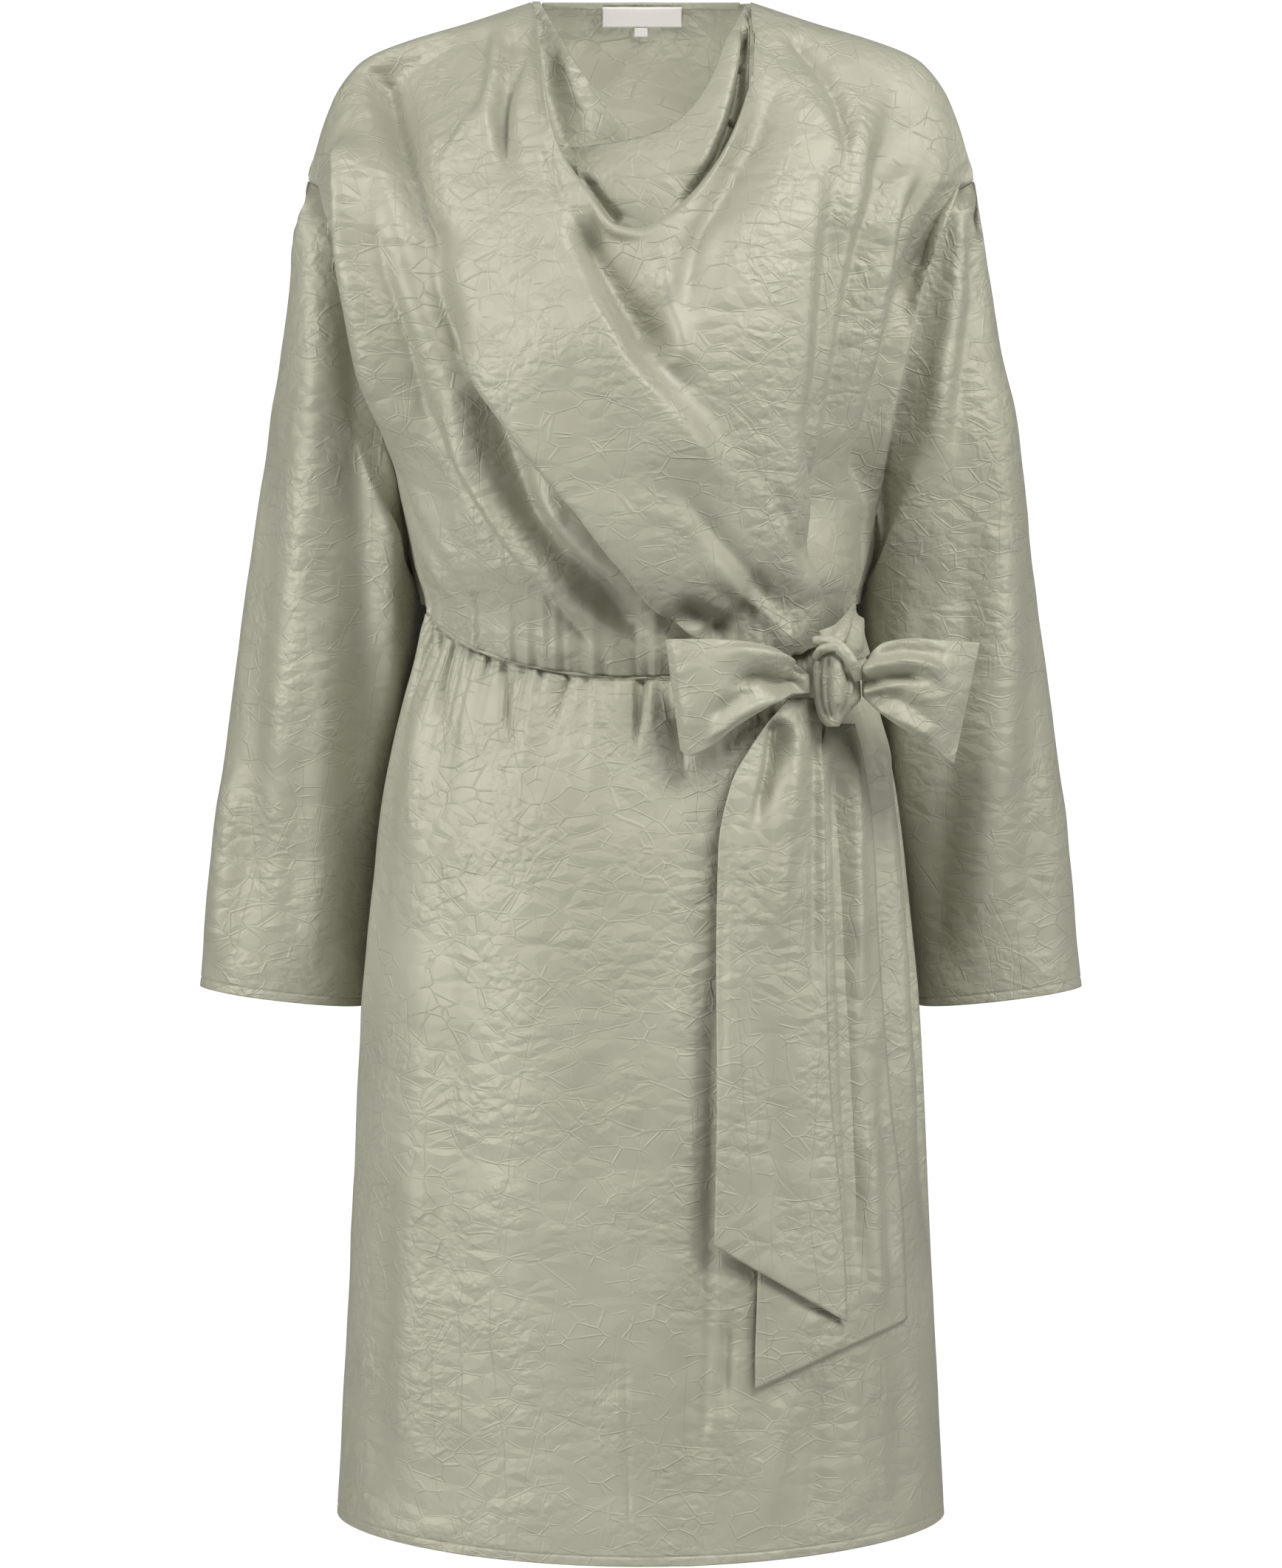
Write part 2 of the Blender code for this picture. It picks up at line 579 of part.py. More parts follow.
def sleeve(side, around, down, front_edge, back_edge):
    """The sleeve's grid, rows from the armhole, closed round. side is -1 at the wearer's right and 1 at the left.
    The edges are the bodice's own, down the wearer's left side."""
    turn = np.linspace(0, 2 * math.pi, around, endpoint=False)
    level = (1 + np.cos(turn)) / 2
    loop_z = ARMHOLE_FOOT + (ARMHOLE_TOP - ARMHOLE_FOOT) * level
    front = np.sin(turn) >= 0
    edges = []
    for edge in (front_edge, back_edge):
        edges.append(np.stack([np.interp(loop_z, edge[::-1, 2], edge[::-1, k]) for k in range(3)], axis=-1))
    loop = np.where(front[:, None], *edges)
    count = len(SLEEVE) - 1
    rows = []
    for k in range(down + 1):
        at = count * (k / down)
        size = SleeveRow(*(hermite(range(count + 1), values, at) * MM for values in zip(*SLEEVE)))
        outer = np.array([size.outer_x, size.middle_y, size.outer_z])
        inner = np.array([size.inner_x, size.middle_y, size.inner_z])
        middle, half = (outer + inner) / 2, (outer - inner) / 2
        deep = np.where(front, size.front, size.back)
        ring = middle + np.cos(turn)[:, None] * half
        ring[:, 1] -= np.sin(turn) * deep
        near = 1 - ease(at / ARMHOLE_BLEND)
        rows.append(ring * (1 - near) + (loop + armhole_shift(at)) * near)
    grid = np.array(rows)
    grid[0] = loop + np.array([ARMHOLE_CLEAR[0], 0, -ARMHOLE_CLEAR[1]])
    grid[0, :, 1] -= np.sin(turn) * ARMHOLE_CLEAR[1]
    grid[..., 0] *= side
    return grid


def armhole_shift(at):
    """How far the armhole's loop has been carried along the sleeve, `at` sections down it."""
    first, second = SLEEVE[0], SLEEVE[1]
    step = np.array([second.outer_x - first.outer_x, ARMHOLE_LEAN, second.outer_z - first.outer_z])
    return step * MM * at


def cowl(across, down):
    """The cowl's inner fold: from a short turning behind its top edge, over it and down behind the crest."""
    share = np.linspace(0, 1, across + 1)
    top_px, foot_px = along([p.top for p in COWL], share), along([p.foot for p in COWL], share)
    top_y = hermite(np.linspace(0, 1, len(COWL)), [p.top_y * MM for p in COWL], share)
    window = np.sqrt(np.cos(math.pi / 2 * share))
    foot_y = nearest_crest_y(foot_px) + COWL_BEHIND * window + COWL_AT_NECK
    rows = []
    for k in range(down + 1):
        t = k / down
        pixel = top_px + (foot_px - top_px) * t
        belly = COWL_BELLY * math.sin(math.pi * t) * window
        roll = COWL_ROLL * (1 - t) ** COWL_ROLL_POWER * window
        rows.append(from_photo(pixel, top_y + (foot_y - top_y) * t - belly + roll))
    behind = rows[0].copy()
    behind[:, 1] += COWL_TURNING[0] * window
    behind[:, 2] -= COWL_TURNING[1] * window
    return np.array([behind, *rows])


def under_layer(across, down):
    """The layer inside the cowl at the wearer's right, rows down from the neck point."""
    at = np.linspace(0, 1, down + 1)
    ends = np.linspace(0, 1, len(UNDER))
    row, left, right, left_y, right_y = (hermite(ends, values, at) for values in zip(*UNDER))
    grid = []
    for k in range(down + 1):
        t = np.linspace(0, 1, across + 1)
        pixel = np.stack([left[k] + (right[k] - left[k]) * t, np.full(across + 1, row[k])], axis=-1)
        y = (left_y[k] + (right_y[k] - left_y[k]) * t) * MM
        y += UNDER_BACK + UNDER_BELLY * np.sin(math.pi * t) * at[k]
        grid.append(from_photo(pixel, y))
    return np.array(grid)


# Folds.


def fold_height(fold, seen):
    """How far this fold moves the cloth out, at places seen in the photograph."""
    route = along(fold.route, np.linspace(0, 1, ROUTE_STEPS))
    starts, ends = route[:-1], route[1:]
    run = ends - starts
    length = np.linalg.norm(run, axis=1)
    flat = seen.reshape(-1, 2)
    offset = flat[:, None, :] - starts[None]
    share = np.clip((offset * run).sum(-1) / length**2, 0, 1)
    gap = offset - share[..., None] * run
    distance = np.linalg.norm(gap, axis=-1)
    nearest = distance.argmin(axis=1)
    pick = np.arange(len(flat))
    side = run[nearest, 1] * offset[pick, nearest, 0] - run[nearest, 0] * offset[pick, nearest, 1]
    far = distance[pick, nearest] * PIXEL * np.sign(side)
    way = np.concatenate([[0], np.cumsum(length)])
    place = (way[nearest] + share[pick, nearest] * length[nearest]) / way[-1]
    strength = ease(place / fold.start) * ease((1 - place) / fold.end)
    spread = np.where(far > 0, fold.right, fold.left) * MM
    bell = np.exp(-((far / spread) ** 2))
    if fold.kind == "lap":
        step = 0.5 + 0.5 * np.tanh(far / LAP_EDGE)
        if fold.height < 0:
            step = 1 - step
        bell = bell * (step - LAP_SINK * (1 - step))
    height = abs(fold.height) if fold.kind == "lap" else fold.height
    return (height * MM * strength * bell).reshape(seen.shape[:-1])


def outward(grid):
    """The direction out of the cloth at each point of a grid in front: rows run down and columns run to +X."""
    down = np.gradient(grid, axis=0)
    across = np.gradient(grid, axis=1)
    normal = np.cross(down, across)
    return normal / np.maximum(np.linalg.norm(normal, axis=-1, keepdims=True), LEAST)


def edge_window(shape):
    """0 on the front's sewn edges and crest, and 1 inside, over a share of its rows and columns."""
    rows = np.concatenate([np.zeros(CREST_ROWS), np.linspace(0, 1, shape[0] - CREST_ROWS)])
    columns = np.linspace(0, 1, shape[1])
    row_window = ease(rows / FOLD_MARGIN.top) * ease((1 - rows) / FOLD_MARGIN.foot)
    column_window = ease(columns / FOLD_MARGIN.side) * ease((1 - columns) / FOLD_MARGIN.side)
    return row_window[:, None] * column_window[None]


# Meshes.


def collection(name):
    made = bpy.data.collections.new(name)
    bpy.context.scene.collection.children.link(made)
    return made


def material(name, colour, roughness):
    made = bpy.data.materials.new(name)
    made.use_nodes = True
    shader = made.node_tree.nodes["Principled BSDF"]
    shader.inputs["Base Color"].default_value = (*colour, 1)
    shader.inputs["Roughness"].default_value = roughness
    shader.inputs["Metallic"].default_value = 0.0
    return made


def add_object(name, mesh_data, into, finish, thickness=WALL):
    mesh = bpy.data.meshes.new(name)
    mesh_data.to_mesh(mesh)
    mesh_data.free()
    mesh.materials.append(finish)
    made = bpy.data.objects.new(name, mesh)
    into.objects.link(made)
    mesh.shade_smooth()
    if thickness:
        wall = made.modifiers.new("wall", "SOLIDIFY")
        wall.thickness = thickness
        wall.offset = -1
        wall.use_even_offset = False
    return made


def grid_mesh(grid, closed=False, flip=False, keep=None):
    """A mesh of quads over a grid of points. keep says which cells there are. Points that meet become one."""
    made = bmesh.new()
    rows, columns = grid.shape[:2]
    points = [[made.verts.new(p) for p in line] for line in grid]
    for r in range(rows - 1):
        for c in range(columns if closed else columns - 1):
            if keep is not None and not keep(r, c):
                continue
            d = (c + 1) % columns
            corners = [points[r][c], points[r + 1][c], points[r + 1][d], points[r][d]]
            made.faces.new(corners[::-1] if flip else corners)
    loose = [v for v in made.verts if not v.link_faces]
    bmesh.ops.delete(made, geom=loose, context="VERTS")
    bmesh.ops.remove_doubles(made, verts=made.verts, dist=MERGE)
    return made


def make_front(into, finish):
    size = MESHES["bodice_front"]
    grid, in_neck = bodice_front(size.across, size.along)
    seen = to_photo(grid)
    out = sum(fold_height(fold, seen) for fold in FOLDS) * edge_window(grid.shape)
    grid = grid + outward(grid) * out[..., None]

    def keep(r, c):
        return r >= CREST_ROWS or in_neck[c] and in_neck[c + 1]

    return add_object("bodice_front", grid_mesh(grid, keep=keep), into, finish)


def make_back(into, finish):
    size = MESHES["bodice_back"]
    grid = bodice_back(size.across, size.along)
    return add_object("bodice_back", grid_mesh(grid, flip=True), into, finish)


def make_skirt(into, finish):
    for name, is_front in (("skirt_front", True), ("skirt_back", False)):
        grid = skirt(MESHES[name].across, MESHES[name].along, is_front)
        add_object(name, grid_mesh(grid, flip=not is_front), into, finish)


def make_sleeves(into, finish):
    size, front, back = (MESHES[name] for name in ("sleeve", "bodice_front", "bodice_back"))
    front_grid, _ = bodice_front(front.across, front.along)
    back_edge = bodice_back(back.across, back.along)[:, -1]
    for name, side in (("sleeve_right", -1), ("sleeve_left", 1)):
        grid = sleeve(side, size.across, size.along, front_grid[CREST_ROWS:, -1], back_edge)
        add_object(name, grid_mesh(grid, closed=True, flip=side > 0), into, finish)


def on_back(pixel, off):
    """Places on the inside of the back, behind these photo pixels and this far off its outer face."""
    y = np.full(pixel.shape[:-1], BACK_Y)
    for _ in range(SEARCH_STEPS):
        place = from_photo(pixel, y)
        half = column(BODICE, "z", "half", place[..., 2])
        depth = column(BODICE, "z", "back_depth", place[..., 2])
        middle = column(BODICE, "z", "back_y", place[..., 2])
        cosine = np.sqrt(np.clip(1 - (place[..., 0] / half) ** 2, 0, 1))
        y = middle + depth * cosine * rounding(place[..., 0], place[..., 2]) - off
    return from_photo(pixel, y)


def inside_back(name, box, off, thickness, size, into, finish):
    """A flat piece sewn inside the back: its box is left, right, top and foot in photo pixels."""
    left, right, top, foot = box
    across, down = np.linspace(left, right, size.across + 1), np.linspace(top, foot, size.along + 1)
    grid = on_back(np.stack(np.meshgrid(across, down), axis=-1), off + WALL + SEAM)
    return add_object(name, grid_mesh(grid), into, finish, thickness)


def make_neck(into, finish, label_finish):
    """The cowl's inner parts, and what is sewn inside the back of the neck."""
    inside_back("neck_band_back", BAND_PX, BAND_OFF, BAND_WALL, MESHES["band"], into, finish)
    inside_back("brand_label", LABEL_PX, LABEL_OFF, LABEL_WALL, MESHES["label"], into, label_finish)
    inside_back("size_tab", TAB_PX, LABEL_OFF, LABEL_WALL, MESHES["tab"], into, label_finish)
    size = MESHES["cowl"]
    add_object("cowl_fold", grid_mesh(cowl(size.across, size.along)), into, finish)
    size = MESHES["under"]
    add_object("neck_underlayer", grid_mesh(under_layer(size.across, size.along)), into, finish)


def outline(rows, across):
    """The top and foot edges of a loose piece, as photo points at even shares of its table."""
    at, ends = np.linspace(0, 1, across + 1), np.linspace(0, 1, len(rows))
    edges = []
    for name in ("top", "foot"):
        points = np.array([getattr(r, name) for r in rows], float)
        edges.append(np.stack([hermite(ends, points[:, k], at) for k in (0, 1)], axis=-1))
    return edges


def make_loops(into, finish):
    """The bow's loops. Each goes out from the knot in front, turns back at its outer end and returns behind."""
    size = MESHES["loop"]
    at = np.linspace(0, 1, size.across + 1)
    for name, rows, flip in (("bow_loop_right", RIGHT_LOOP, True), ("bow_loop_left", LEFT_LOOP, False)):
        ends = np.linspace(0, 1, len(rows))
        top, foot = outline(rows, size.across)
        front = hermite(ends, [r.front * MM for r in rows], at)
        back = hermite(ends, [r.back * MM for r in rows], at)
        middle = (front + back) / 2
        grid = []
        for t in np.linspace(0, 1, size.along + 1):
            swell = LOOP_EDGE + (1 - LOOP_EDGE) * math.sin(math.pi * t)
            pixel = top + (foot - top) * t
            near = from_photo(pixel, middle + (front - middle) * swell)
            far = from_photo(pixel, middle + (back - middle) * swell)
            grid.append(np.concatenate([near, far[::-1]]))
        add_object(name, grid_mesh(np.array(grid), flip=flip), into, finish)


def skirt_front_y(x, z):
    """How far forward the plain skirt stands at x and z."""
    half = column(SKIRT, "drop", "half", WAIST_Z - z)
    sine = np.clip(x / half, -WIDEST_SINE, WIDEST_SINE)
    return skirt_ring(np.arcsin(sine), z, True)[..., 1]


def tail(rows, cut, across, down):
    """A hanging end of the sash: it lies a little off the skirt and is cut to a slant."""
    at = np.linspace(0, 1, down + 1)
    keys = [r.row for r in rows]
    grid = []
    for k in range(down + 1):
        t = np.linspace(0, 1, across + 1)
        foot = cut[0] + (cut[1] - cut[0]) * t
        row = keys[0] + (foot - keys[0]) * at[k]
        left = hermite(keys, [r.left for r in rows], row)
        right = hermite(keys, [r.right for r in rows], row)
        off = hermite(keys, [r.off * MM for r in rows], row)
        pixel = np.stack([left + (right - left) * t, row], axis=-1)
        y = np.full(across + 1, SKIRT_FRONT_Y)
        for _ in range(SEARCH_STEPS):
            place = from_photo(pixel, y)
            y = skirt_front_y(place[..., 0], place[..., 2]) - off
        grid.append(from_photo(pixel, y))
    return np.array(grid)


def make_tails(into, finish):
    size = MESHES["tail"]
    grid = tail(FRONT_TAIL, FRONT_TAIL_CUT, size.across, size.along)
    add_object("sash_tail_front", grid_mesh(grid), into, finish)
    grid = tail(BACK_TAIL, BACK_TAIL_CUT, size.across, size.along)
    add_object("sash_tail_back", grid_mesh(grid), into, finish)


def make_knot(into, finish):
    """The knot: a flattened ball whose wraps leave grooves over it."""
    made = bmesh.new()
    bmesh.ops.create_uvsphere(made, u_segments=KNOT_MESH[0], v_segments=KNOT_MESH[1], radius=1)
    middle = from_photo(KNOT_MIDDLE_PX, KNOT_Y)
    across, up = math.cos(KNOT_LEAN), math.sin(KNOT_LEAN)
    for v in made.verts:
        turn = math.atan2(v.co.x, -v.co.y)
        groove = KNOT_GROOVE * (1 + math.cos(KNOT_WRAPS * turn)) / 2 * (1 - v.co.z**2)
        x, y, z = (v.co[k] * KNOT_HALF[k] * (1 - groove) for k in range(3))
        v.co = (middle[0] + x * across - z * up, middle[1] + y, middle[2] + x * up + z * across)
    return add_object("sash_knot", made, into, finish, thickness=0)


def make_strap(into, finish):
    size = MESHES["strap"]
    top, foot = outline(STRAP, size.across)
    y = hermite(np.linspace(0, 1, len(STRAP)), [r.y * MM for r in STRAP], np.linspace(0, 1, size.across + 1))
    grid = [from_photo(top + (foot - top) * k / size.along, y) for k in range(size.along + 1)]
    return add_object("sash_strap", grid_mesh(np.array(grid)), into, finish)


def main():
    for old in list(bpy.data.objects):
        bpy.data.objects.remove(old)
    into = collection("draped_dress")
    satin = material("satin", SAGE, SATIN_ROUGHNESS)
    label = material("label", LABEL_WHITE, LABEL_ROUGHNESS)
    make_front(into, satin)
    make_back(into, satin)
    make_skirt(into, satin)
    make_sleeves(into, satin)
    make_neck(into, satin, label)
    make_loops(into, satin)
    make_tails(into, satin)
    make_knot(into, satin)
    make_strap(into, satin)


main()
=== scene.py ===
"""The looks of a knee-length draped dress in crinkled satin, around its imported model.

Metres, +Z up, the front faces -Y and the wearer's left is +X. Each piece of cloth is a fine grid of points
worked out from the same tables as the model's own solids. Folds are laid over it one by one along routes read
off the photograph, so those tables hold photo pixels, and the viewing point turns them into real places.
"""

import math
from collections import namedtuple

import bmesh
import bpy
import numpy as np
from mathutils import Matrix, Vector


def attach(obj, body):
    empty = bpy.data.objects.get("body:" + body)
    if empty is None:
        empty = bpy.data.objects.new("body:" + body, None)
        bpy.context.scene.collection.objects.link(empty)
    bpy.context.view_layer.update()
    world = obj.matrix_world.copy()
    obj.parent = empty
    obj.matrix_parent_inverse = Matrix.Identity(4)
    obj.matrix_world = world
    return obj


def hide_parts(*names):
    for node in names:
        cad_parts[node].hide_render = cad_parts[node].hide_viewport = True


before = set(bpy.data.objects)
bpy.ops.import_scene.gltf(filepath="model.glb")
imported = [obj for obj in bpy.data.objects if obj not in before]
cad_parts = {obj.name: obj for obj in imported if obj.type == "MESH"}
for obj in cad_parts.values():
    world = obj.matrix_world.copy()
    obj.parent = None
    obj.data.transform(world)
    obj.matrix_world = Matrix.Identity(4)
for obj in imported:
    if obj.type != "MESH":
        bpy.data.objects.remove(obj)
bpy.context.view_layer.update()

MM = 0.001
DEGREE = math.pi / 180
TINY = 1e-12  # keeps a division from having nothing to divide by


# How the tables below are read.


def table(columns, text):
    """Rows with these named columns, from lines of numbers."""
    row = namedtuple("Row", columns)
    return [row(*map(float, line.split())) for line in text.strip().splitlines()]


def pixels(text):
    """Points in the photograph, from pairs of a pixel column and row."""
    return [tuple(map(float, pair.split(","))) for pair in text.split()]


Fold = namedtuple("Fold", "kind height left right start end route")


def folds(text):
    """Folds from lines with a Fold's columns, the route last. A line that starts with # is a comment.

    height, times FOLD_GAIN, is how far a fold stands out of the cloth, less than 0 for a trough; left and
    right are how far it spreads to the photo's left and right of its route; all in mm. start and end are the
    shares of the route over which it rises and dies away. A lap is the edge of cloth that lies over other
    cloth, high on the right of its route, or on the left where height is less than 0."""
    made = []
    for line in text.strip().splitlines():
        if not line.startswith("#"):
            kind, height, left, right, start, end, route = line.split(maxsplit=6)
            made.append(Fold(kind, *map(float, (height, left, right, start, end)), pixels(route)))
    return made


# Driving sizes of the dress, as in the model.
WALL = 1.4 * MM
CLOTH = 0.9 * MM  # thickness of the cloth
SEAM = 0.3 * MM  # gap between two pieces that are sewn together
HALF_SEAM = SEAM / 2
NECK_HALF = 71 * MM
NECK_TOP = 17.5 * MM
NECK_RISE = 36 * MM  # the shoulder line carries on over the neck as a low dome
SHOULDER_ROUND = 72 * MM  # how far below the shoulder line the cloth reaches its full depth
WAIST_Z = -376 * MM
WAIST_DIP_FRONT = 43 * MM
WAIST_DIP_BACK = -4 * MM
WAIST_DIP_POWER = 1.2
HEM_Z = -971 * MM
HEM_DIP_FRONT = 8 * MM
BACK_NECK_RISE = 5 * MM
FRONT_NECK_SHARE = 0.42  # share of the columns that lie across the neck
BACK_NECK_SHARE = 0.33
NOTCH_POWER = 24  # keeps the armhole's notch close to the side
WAIST_FADE_POWER = 3  # how soon the skirt's rows forget the dip of the waist
SETTLE_DROP = 110 * MM  # how far under its top edge the cloth has reached its level sections
SIDE_SHARE, SIDE_BLEND = 0.9, 0.1  # the last part of the way round follows the level sections all the way up
SLEEVE_BLEND = 1.6  # sections over which the armhole's edge turns into the sleeve's own rings
SLEEVE_BACKWARD = 6  # mm that this edge moves back with each section

# The camera stands where the photograph was taken from. PIXEL is the photograph's scale through the origin.
VIEW_DISTANCE = 3.2
VIEW_HEIGHT = -0.32
AIM_HEIGHT = -0.49
PIXEL = 0.4816 * MM
PHOTO_SIZE = (1736, 2123)
PHOTO_CENTRE = (868.0, 1061.5)
TILT = math.atan2(VIEW_HEIGHT - AIM_HEIGHT, VIEW_DISTANCE)
FOCAL = math.hypot(VIEW_DISTANCE, VIEW_HEIGHT - AIM_HEIGHT) / PIXEL
SENSOR = 36.0

# A place seen in the photograph is found in steps: the first guess of its y, and how many steps follow.
CREST_SEARCH = (-60 * MM, 6)
BACK_SEARCH = (60 * MM, 8)
TAIL_SEARCH = (-100 * MM, 5)
CREST_SAMPLES = 81
WIDEST_SINE = 0.98

# The shoulder line from the neck point out to the top of the sleeve, in mm.
SHOULDER = table("x z", """
71 17.5
112 4
152 -8
179 -19.5
196 -38.5
208 -67
216 -97
""")

# Level sections of the bodice, in mm. The armhole opens where the front and back edges stand apart.
BODICE = table("z half notch front_y front_depth back_y back_depth", """
17.5 76 0 10.5 52 11.5 60
4 114 0 10.5 58 11.5 66
-8 154 0 10.5 64 11.5 70
-19.5 179 0 10.5 68 11.5 72
-38.5 197 0 10.5 76 11.5 75
-67 208 0 10.3 88 11.7 80
-97 216 0 10 98 12 84
-107 214 12 8 101 26 74
-133 205 17 3 107 58 52
-200 183 7 1 116 80 38
-260 166 3 8 122 72 46
-311 155 0 28 139 31 84
-345 148 0 25 128 26 84
-376 139 0 20 104 21 80
-400 139 0 20 98 21 78
-419 139 0 20 88 21 78
""")
ARMHOLE_TOP = -97 * MM
ARMHOLE_FOOT = -311 * MM

# Level sections of the skirt, in mm below the waist seam's side.
SKIRT = table("drop half side_y front_depth back_depth", """
0 139 20 88 78
20 144 20 94 90
50 152 20 103 106
87 161 20 111 118
130 169 20 118 125
200 177 20 125 130
260 183 19 129 132
425 191 16 134 134
595 200 14 138 138
""")

# Sections of a sleeve from the armhole to the cuff, in mm: the outer and inner ends of each and its depth.
SLEEVE = table("outer_x outer_z inner_x inner_z middle_y front back", """
216 -97 155 -311 34 40 44
226 -144 151 -345 42 44 46
238 -211 148 -372 50 47 48
249 -281 149 -402 56 48 50
261 -358 156 -440 62 50 52
273 -443 168 -494 68 50 52
285 -530 178 -560 74 48 50
295 -629 185 -642 80 46 48
""")

# The crest of the cowl's outer fold, from the wearer's right neck point to the left one.
CREST_PX = pixels(
    "722,3 731,60 739,130 757,196 796,256 834,303 864,308 906,287 "
    "946,250 981,200 1005,145 1019,95 1022,45 1014,3"
)
CREST_ROUND = 6 * MM  # radius of the roll along that crest
CREST_TUCK = 14 * MM  # how far the cloth turns down behind it

# The cowl's inner fold: its top edge, and its foot hidden behind the crest.
COWL_TOP_PX = pixels("752,194 776,199 804,196 854,188 894,176 934,147 963,105 985,52 1009,7")
COWL_FOOT_PX = pixels("762,216 800,276 836,322 868,326 912,304 956,262 990,204 1012,118 1014,16")
COWL_TOP_Y = (-52, -58, -61, -62, -59, -53, -43, -24, 6)  # mm
COWL_AT_NECK = 3.6 * MM
COWL_BEHIND = 20 * MM  # how far the foot hangs behind the crest
COWL_BELLY = 3 * MM
COWL_ROLL, COWL_ROLL_POWER = 5 * MM, 6  # the top edge rolls back
COWL_TURN_BACK, COWL_TURN_DOWN = 3.5 * MM, 9 * MM  # the short turning behind that edge

# The layer inside it, at the wearer's right: its free edge runs straight from the neck point. y in mm.
UNDER_BELLY = 5  # mm
UNDER_BACK = 2 * MM
UNDER = table("row left right left_y right_y", """
2 721 731 7 8
60 724 764 -8 -8
110 729 797 -24 -22
150 737 826 -34 -32
190 750 854 -42 -40
222 772 878 -46 -45
""")

# Loose pieces of the sash, with their outlines in photo pixels. front, back and y are places along Y, in mm.
RIGHT_LOOP = table("top_x top_y foot_x foot_y front back", """
1096 914 1097 938 -80 -73
1076 898 1070 941 -91 -77
1050 877 1036 960 -104 -84
1002 867 1000 982 -114 -88
950 865 960 1012 -117 -93
915 865 934 1024 -113 -97
901 866 921 1016 -106 -104
""")
LEFT_LOOP = table("top_x top_y foot_x foot_y front back", """
1167 912 1167 942 -80 -73
1178 886 1183 958 -88 -67
1200 869 1206 976 -95 -64
1240 864 1238 996 -97 -62
1284 867 1266 1014 -92 -61
1314 869 1283 1029 -82 -64
1327 870 1292 1034 -75 -72
""")
# off is how far a tail stands off the skirt, in mm. Its cut is the rows of its slanting end's two corners.
FRONT_TAIL = table("row left right off", """
945 1068 1116 15.5
1000 1024 1113 12
1060 991 1117 14
1150 973 1119 10
1300 970 1120 9
1480 971 1126 9
1620 969 1139 9
1740 966 1147 10
""")
FRONT_TAIL_CUT = (1687, 1790)
BACK_TAIL = table("row left right off", """
980 1122 1158 8
1030 1106 1170 6
1120 1085 1182 5
1300 1065 1192 5
1480 1048 1206 5
1650 1030 1224 4
1830 1023 1230 5
""")
BACK_TAIL_CUT = (1881, 1786)
LOOP_EDGE, LOOP_BULGE = 0.55, 0.45  # shares of a loop's depth at its edges, and added in its middle
STRAP = table("top_x top_y foot_x foot_y y", """
1110 854 1120 878 -76
1132 845 1144 888 -66
1147 828 1160 894 -50
1158 816 1178 884 -28
1159 826 1170 866 6
""")

# What is sewn in at the back of the neck.
BAND_WALL = 1.0 * MM
LABEL_WALL = 1.0 * MM
BAND_CLOTH = 0.7 * BAND_WALL
LABEL_CLOTH = 0.6 * LABEL_WALL
BAND_OFF = BAND_WALL + 2 * SEAM  # how far each is off the back's inside
LABEL_OFF = BAND_WALL + LABEL_WALL + 5 * SEAM
BAND_PX = (735, 1001, 4, 13)  # left, right, top and foot in photo pixels
LABEL_PX = (816, 923, 10, 37)
TAB_PX = (859, 877, 38, 50)

# How folds and creases are made.
ROUTE_STEPS = 33
CREASE_POWER = 1.3
LAP_TURN = 6.0 * MM  # half the width of the S that a lap's cloth goes through
LAP_FOLD = 2.4  # how strongly it turns back under itself; over 1 it overhangs
LAP_EDGE = 0.5  # where the lap's edge lies, in shares of LAP_TURN
LAP_PINCH, LAP_PINCH_REACH = 0.8, 0.35  # rows are drawn together there, so the edge is crisp
LAP_SINK = 0.55
FOLD_GAIN = 1.6  # every fold's height is multiplied by this
LEAST_SPAN = 0.05  # square pixels of a cell, where a slide is turned into steps of the grid
CRINKLE = 0.75 * MM
CRINKLE_BROAD = (22, 1.7)  # waves a metre, and a shift that keeps these layers apart
CRINKLE_SMALL = (47, 3.1)
CRINKLE_PATCH = (16, 5.5)
CRINKLE_SMALL_SHARE = 0.5
NOISE_SEEDS = (3, 4)
NOISE_DIRECTIONS = 64
NOISE_CELLS = 256
NOISE_GAIN = 1.6
SLEEVE_TUCK = 2.0 * MM  # how far the sleeve's top goes in under the bodice's edge
SLEEVE_SINK, SLEEVE_SINK_END = 7.0 * MM, 1.3  # and how far its front lies under it, over its first sections
SEAM_ROLL = 2.4 * MM
SEAM_REACH = 1.2 * MM
SEAM_ROWS = np.array([4.0, 2.9, 2.0, 1.3, 0.6]) * MM  # rows of the mesh near a seam, and near a turned edge
HEM_ROWS = np.array([9.0, 7.6, 6.9, 6.4, 6.0, 5.6, 5.1, 4.4, 2.5, 1.0]) * MM
HEM_DEPTH = 6 * MM
STITCH_SINK = 0.6 * MM
STITCH_WIDTH = 0.7 * MM
TUCK_ROLL, TUCK_SLOPE, TUCK_QUICK = 0.6, 0.7, 3  # the turn behind the crest, in shares of CREST_ROUND
FACING = 0.45  # a sleeve's folds fade over this much of its turn away from the front or back

# Shares of a piece's height and width over which folds die away to its sewn edges: top, foot and sides. Where
# there are two, the second is for pleats and fine waves.
NO_FADE = 1e-6
FRONT_FADES = ((0.05, 0.02, 0.03), (0.03, NO_FADE, 0.015))
BACK_FADES = ((0.12, 0.02, 0.04), (0.03, NO_FADE, 0.02))
SKIRT_FADES = ((0.01, NO_FADE, 0.02), (NO_FADE, NO_FADE, 0.015))
NECK_FADE = (0.05, 0.05, 0.04)
LOOP_FADE = (0.12, 0.12, 0.06)
TAIL_FADE = (0.01, 0.01, 0.10)
STRAP_FADE = (0.1, 0.1, 0.1)
SLEEVE_FADE = 0.06

